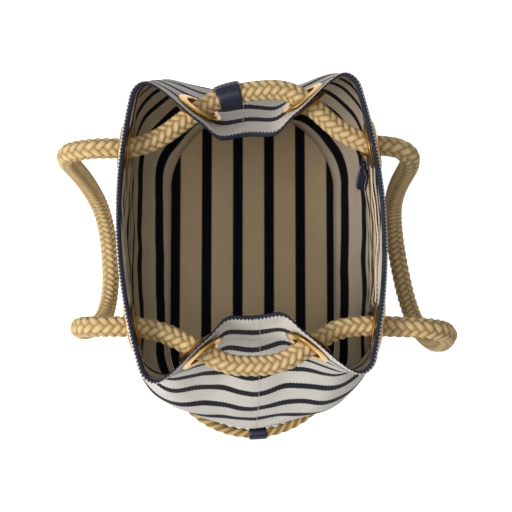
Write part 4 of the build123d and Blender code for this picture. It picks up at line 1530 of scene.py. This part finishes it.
@dataclass
class Pocket:
    """The zip pocket on the inside of the back panel, and the blank leather patch beside it."""

    bag: Bag
    cloth: float = 1.2 * MM
    stand: float = 4.5 * MM  # how far in from the wall's outer face the cloth lies
    press: float = 1.6 * MM  # how much nearer to the wall its sewn edges are
    edging: float = 4.9 * MM  # how far in the edge tape's face is
    edging_width: float = 5 * MM
    tooth_pitch: float = 2.6 * MM
    tooth: tuple[float, float, float] = (1.5 * MM, 3.1 * MM, 2.2 * MM)
    pull_twist: float = 58.0  # degrees that the leather pull has turned in its eye
    pull_drift: float = 3.5 * MM  # how far its tail leans away from the pocket

    def strip(self, name: str, node: str, sewn_below: bool) -> None:
        """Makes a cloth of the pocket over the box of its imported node, its stripes in line with the wall's.

        Args:
            name: the piece's name.
            node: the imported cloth.
            sewn_below: whether its lower edge is sewn to the wall, as its ends are.
        """
        shape = self.bag.shape
        low, high = corners(node)
        rows = max(6, int((high[2] - low[2]) / (2.5 * MM)))
        x, height, share = shape.patch_grid(low, high, 90, rows)
        edge = np.minimum(x - low[0], high[0] - x) + 0 * height
        if sewn_below:
            edge = np.minimum(edge, height - low[2])
        press = 1 - smoothstep(0, 6 * MM, edge)
        depth = self.stand - press * self.press
        outer = shape.point(share, height, depth)
        inner = shape.point(share, height, depth + self.cloth)
        # The pocket takes most of the painted shade tint of the bag's inside.
        values = shape.cloth_values(share, shape.rim(share) - height, 0.8)
        mesh = Mesh()
        add_shell(mesh, outer, inner, values, values)
        piece = dress(mesh.build(name, self.bag.finishes.canvas), Slot.CANVAS, node)

    def binding(self) -> None:
        """Makes the tape that edges the pocket's two ends and its bottom."""
        shape = self.bag.shape
        low, high = corners("pocket_binding")
        width, proud = self.edging_width, 1 * MM
        mesh, thread = Mesh(), Mesh()
        # Lowest and highest x, lowest and highest z, columns and rows of each band.
        bands = (
            (low[0] - proud, low[0] + width, low[2], high[2], 5, 70),
            (high[0] - width, high[0] + proud, low[2], high[2], 5, 70),
            (low[0] + width, high[0] - width, low[2], low[2] + width, 80, 5),
        )
        for x0, x1, z0, z1, columns, rows in bands:
            _, height, share = shape.patch_grid((x0, z0), (x1, z1), columns, rows)
            back = shape.point(share, height, shape.layer + 0.3 * MM)
            front = shape.point(share, height, self.edging)
            add_shell(mesh, back, front)
            upright = columns < rows
            picks = (columns // 2, slice(1, -1)) if upright else (slice(1, -1), rows // 2)
            spots, heights = share[picks], np.broadcast_to(height, share.shape)[picks]
            line = shape.point(spots, heights, self.edging + 0.05 * MM)
            add_stitches(thread, line, -shape.outward(spots, heights), 2.6 * MM, 1.1 * MM)
        dress(mesh.build("pocket_edge_tape", self.bag.finishes.tape), Slot.POCKET, "pocket_binding")
        dress(thread.build("pocket_stitches", self.bag.finishes.pale_thread), Slot.POCKET)

    def zip_arc(self) -> tuple[np.ndarray, float]:
        """The zip curve's centre, and its radius at the teeth's middle."""
        centre = np.array(self.bag.joints["zipper_slide"]["pos_m"])
        points = node_points(self.bag.nodes["zipper_teeth_upper"])
        radii = np.hypot(points[:, 0] - centre[0], points[:, 1] - centre[1])
        return centre, float((radii.min() + radii.max()) / 2)

    def on_arc(self, node: str, margin: float = 0.0) -> tuple[float, float]:
        """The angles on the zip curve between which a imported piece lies, less a margin at both ends."""
        centre, radius = self.zip_arc()
        low, high = corners(node)
        first = math.asin((low[0] - centre[0] + margin) / radius)
        return first, math.asin((high[0] - centre[0] - margin) / radius)

    def arc_ways(self, angle: float) -> tuple[np.ndarray, np.ndarray]:
        """The directions along the zip curve and out of it, at an angle."""
        sine, cosine = math.sin(angle), math.cos(angle)
        return np.array((cosine, -sine, 0)), np.array((sine, cosine, 0))

    def zip_tapes(self) -> None:
        """Makes the two woven tapes."""
        centre, radius = self.zip_arc()
        for name, node in (("zip_tape_above", "zipper_tape_upper"), ("zip_tape_below", "zipper_tape_lower")):
            low, high = corners(node)
            angle = np.linspace(*self.on_arc(node), 100)[:, None]
            height = np.linspace(low[2], high[2], 8)[None, :]
            faces = []
            for reach in (radius + 0.4 * MM, radius - 0.4 * MM):
                x, y = centre[0] + reach * np.sin(angle), centre[1] + reach * np.cos(angle)
                faces.append(np.stack([x + 0 * height, y + 0 * height, height + 0 * angle], axis=-1))
            mesh = Mesh()
            add_shell(mesh, *faces)
            dress(mesh.build(name, self.bag.finishes.zip_tape), Slot.ZIP_TAPE, node)

    def zip_metal(self) -> None:
        """Makes the single teeth of both rows, the two stops, and dresses the slider and its puller."""
        centre, radius = self.zip_arc()
        block, block_faces = chamfered_box(self.tooth, 0.4 * MM)
        # The upper row's teeth stand half a pitch on from the lower row's, and both rows lap a little.
        rows = (
            ("zip_teeth_above", "zipper_teeth_upper", 1, 0.5),
            ("zip_teeth_below", "zipper_teeth_lower", -1, 0.0),
        )
        for name, node, side, shift in rows:
            first, last = self.on_arc(node, 1.2 * MM)
            count = int((last - first) * radius / self.tooth_pitch)
            middle = centre[2] + side * (self.tooth[1] / 2 - 0.3 * MM)
            mesh = Mesh()
            for k in range(count):
                along, out = self.arc_ways(first + (k + shift) * self.tooth_pitch / radius)
                spot = np.array((centre[0], centre[1], middle)) + out * radius
                tooth = spot + block[:, :1] * along + block[:, 2:] * out + block[:, 1:2] * UP
                mesh.add(tooth, block_faces)
            dress(mesh.build(name, self.bag.finishes.brass, sharp=30), Slot.BRASS, node)
        for name, node in (("zip_stop_closed", "zipper_top_stop"), ("zip_stop_open", "zipper_bottom_stop")):
            low, high = corners(node)
            block_size = (high[0] - low[0], 2.6 * MM, high[2] - low[2])
            stop, stop_faces = chamfered_box(block_size, 0.5 * MM)
            middle = (low + high) / 2
            turn = np.array((*self.arc_ways(math.asin((middle[0] - centre[0]) / radius)), UP))
            mesh = Mesh()
            mesh.add(middle + stop @ turn, stop_faces)
            dress(mesh.build(name, self.bag.finishes.brass, sharp=30), Slot.BRASS, node)
        for node in ("zipper_slider", "zipper_puller"):
            refinish(self.bag.nodes[node], self.bag.finishes.brass)

    def pull(self) -> None:
        """Makes the leather pull: a strip folded through the puller's eye and stitched to itself."""
        points = node_points(self.bag.nodes["pull_tab"])
        middle = points.mean(axis=0)
        _, _, axes = np.linalg.svd(points - middle)
        reach = (points - middle) @ axes.T
        middle = middle + ((reach.min(axis=0) + reach.max(axis=0)) / 2) @ axes
        length, width, thick = (reach.max(axis=0) - reach.min(axis=0)) / 2
        hinge = np.array(self.bag.joints["zipper_puller_swing"]["pos_m"])
        long_way = axes[0] if np.dot(axes[0], middle - hinge) > 0 else -axes[0]
        side_way = axes[1]
        out_way = np.cross(long_way, side_way)
        u = np.linspace(-1, 1, 50)[:, None]
        v = np.linspace(-1, 1, 15)[None, :]
        tail = 1 - 0.12 * smoothstep(0.8, 1.0, u)
        across = v * width * tail * np.sqrt(np.clip(1 - smoothstep(0.93, 1.0, np.abs(u)) * 0.35, 0, 1))
        rim = np.sqrt(np.clip(1 - (np.abs(v) ** 6), 0, 1)) * np.sqrt(np.clip(1 - np.abs(u) ** 26, 0, 1))
        plump = thick * (0.8 + 0.16 * bell(u + 0.8, 0.16)) * (0.35 + 0.65 * rim)
        if out_way[1] > 0:
            out_way = -out_way
        turn = math.radians(self.pull_twist) * smoothstep(-0.75, 0.1, u)[..., None]
        if np.cross(out_way, long_way)[2] * side_way[2] > 0:
            turn = -turn
        across_way = side_way * np.cos(turn) + np.cross(long_way, side_way) * np.sin(turn)
        face_way = out_way * np.cos(turn) + np.cross(long_way, out_way) * np.sin(turn)
        drift = out_way * (self.pull_drift * smoothstep(-0.6, 1.0, u))[..., None]
        base = middle + long_way * (u * length)[..., None] + across_way * across[..., None] + drift
        upper, lower = base + face_way * plump[..., None], base - face_way * plump[..., None]
        mesh, thread = Mesh(), Mesh()
        add_shell(mesh, upper, lower)
        piece = mesh.build("leather_zip_pull", self.bag.finishes.leather, sharp=70)
        dress(piece, Slot.LEATHER, "pull_tab", body=Body.ZIP_PULL)
        ways = np.broadcast_to(face_way, base.shape)
        for face, sign in ((upper, 1), (lower, -1)):
            for column in (2, 12):
                line, way = face[12:48, column], sign * ways[12:48, column]
                add_stitches(thread, line, way, 2.0 * MM, 0.8 * MM, 0.25 * MM)
        stitches = thread.build("zip_pull_stitches", self.bag.finishes.pale_thread)
        dress(stitches, Slot.LEATHER, body=Body.ZIP_PULL)

    def patch(self) -> None:
        """Makes the blank leather patch near the rim."""
        shape = self.bag.shape
        low, high = corners("label_patch")
        x, height, share = shape.patch_grid(low, high, 30, 60)
        sides, ends = np.minimum(x - low[0], high[0] - x), np.minimum(height - low[2], high[2] - height)
        edge = np.minimum(sides, ends)
        front = shape.layer + 0.6 * MM + 1.2 * MM * quarter_round(edge, 0.9 * MM)
        mesh, thread = Mesh(), Mesh()
        inner = shape.point(share, height, front)
        add_shell(mesh, shape.point(share, height, shape.layer + 0.3 * MM), inner)
        dress(mesh.build("leather_patch", self.bag.finishes.leather), Slot.LEATHER, "label_patch")
        way = -shape.outward(share, height)
        for picks in ((3, slice(3, -3)), (-4, slice(3, -3)), (slice(3, -3), 3), (slice(3, -3), -4)):
            add_stitches(thread, inner[picks], way[picks], 2.4 * MM, 1.0 * MM, 0.3 * MM)
        dress(thread.build("leather_patch_stitches", self.bag.finishes.pale_thread), Slot.LEATHER)

    def make(self) -> None:
        """Makes the pocket."""
        self.strip("pocket_cloth_below", "pocket_panel", sewn_below=True)
        self.strip("pocket_cloth_above", "pocket_facing", sewn_below=False)
        self.binding()
        self.zip_tapes()
        self.zip_metal()
        self.pull()
        self.patch()


# ---------------------------------------------------------------- studio


@dataclass
class Studio:
    """A pale floor, soft light and a camera that looks almost straight down into the bag."""

    camera_place: tuple[float, float, float] = (0.149, 0.004, 1.337)
    tilt: float = 6.9  # degrees from straight down
    lens: float = 89.4
    sensor: float = 36.0
    floor_reach: float = 6.0
    floor_glow: float = 0.8
    aim_height: float = 0.15
    sky: tuple[float, float, float, float] = (0.93, 0.96, 1.0, 1.0)
    sky_strength: float = 0.42

    def camera(self) -> None:
        """Makes the camera, whose picture has the +X gusset at the bottom."""
        data = bpy.data.cameras.new("camera")
        data.lens, data.sensor_width = self.lens, self.sensor
        tilt = math.radians(self.tilt)
        ahead = Vector((-math.sin(tilt), 0, -math.cos(tilt)))
        up = Vector((-math.cos(tilt), 0, math.sin(tilt)))
        right = ahead.cross(up)
        turn = Matrix((right, up, -ahead)).transposed()
        view = bpy.data.objects.new("camera", data)
        view.matrix_world = Matrix.Translation(self.camera_place) @ turn.to_4x4()
        bpy.context.scene.collection.objects.link(view)
        bpy.context.scene.camera = view

    def floor(self) -> None:
        """Makes the floor, which looks white to the camera and still takes a shadow."""
        data = bpy.data.meshes.new("floor")
        reach = self.floor_reach
        square = [(x * reach, y * reach, 0) for x, y in ((-1, -1), (1, -1), (1, 1), (-1, 1))]
        data.from_pydata(square, [], [(0, 1, 2, 3)])
        floor = bpy.data.objects.new("floor", data)
        material = bpy.data.materials.new("studio_floor")
        material.use_nodes = True
        tree = material.node_tree
        shader = tree.nodes["Principled BSDF"]
        wire(tree, shader, {"Base Color": linear("efefef"), "Roughness": 0.9})
        white = {"Color": (1, 1, 1, 1), "Strength": self.floor_glow}
        glow = add_node(tree, "ShaderNodeEmission", None, white)
        plain = add_node(tree, "ShaderNodeAddShader", None, (shader, glow))
        rays = add_node(tree, "ShaderNodeLightPath").outputs
        seen = add_node(tree, MATH, {"operation": "MAXIMUM"}, (rays["Is Camera Ray"], rays["Is Glossy Ray"]))
        mix = add_node(tree, "ShaderNodeMixShader", None, (seen, shader, plain))
        wire(tree, tree.nodes["Material Output"], {"Surface": mix})
        data.materials.append(material)
        bpy.context.scene.collection.objects.link(floor)

    def lamp(self, name: str, place: tuple[float, float, float], size: float, power: float) -> None:
        """Makes a square lamp that faces the bag.

        Args:
            name: its name.
            place: where it is.
            size: its side.
            power: its power in watts.
        """
        data = bpy.data.lights.new(name, "AREA")
        data.energy, data.size = power, size
        lamp = bpy.data.objects.new(name, data)
        lamp.location = place
        ahead = Vector((0, 0, self.aim_height)) - Vector(place)
        lamp.rotation_euler = ahead.to_track_quat("-Z", "Y").to_euler()
        bpy.context.scene.collection.objects.link(lamp)

    def make(self) -> None:
        """Makes the studio."""
        bpy.context.scene.view_settings.view_transform = "Standard"
        self.floor()
        self.lamp("key_lamp", (0.5, -1.3, 1.5), 0.7, 30)
        self.lamp("top_lamp", (0.15, -0.15, 1.7), 0.5, 3.4)
        world = bpy.data.worlds.new("studio")
        world.use_nodes = True
        sky = world.node_tree.nodes["Background"]
        wire(world.node_tree, sky, {"Color": self.sky, "Strength": self.sky_strength})
        bpy.context.scene.world = world


def main() -> None:
    """Builds the bag and its studio."""
    studio = Studio()
    studio.camera()
    names = [n[len("eyelet_") :] for n in frame["nodes"] if n.startswith("eyelet_") and "washer" not in n]
    eyelets = [Eyelet.read(name, frame["nodes"]["eyelet_" + name]) for name in sorted(names)]
    joints = {joint["name"]: joint for joint in frame["joints"]}
    bag = Bag(BagShape(), Wardrobe(), frame["nodes"], joints, eyelets)
    Ropes(bag).make()
    Canvas(bag).make()
    Base(bag).make()
    Eyelets(bag).make()
    Pocket(bag).make()
    studio.make()


if __name__ == "__main__":
    main()
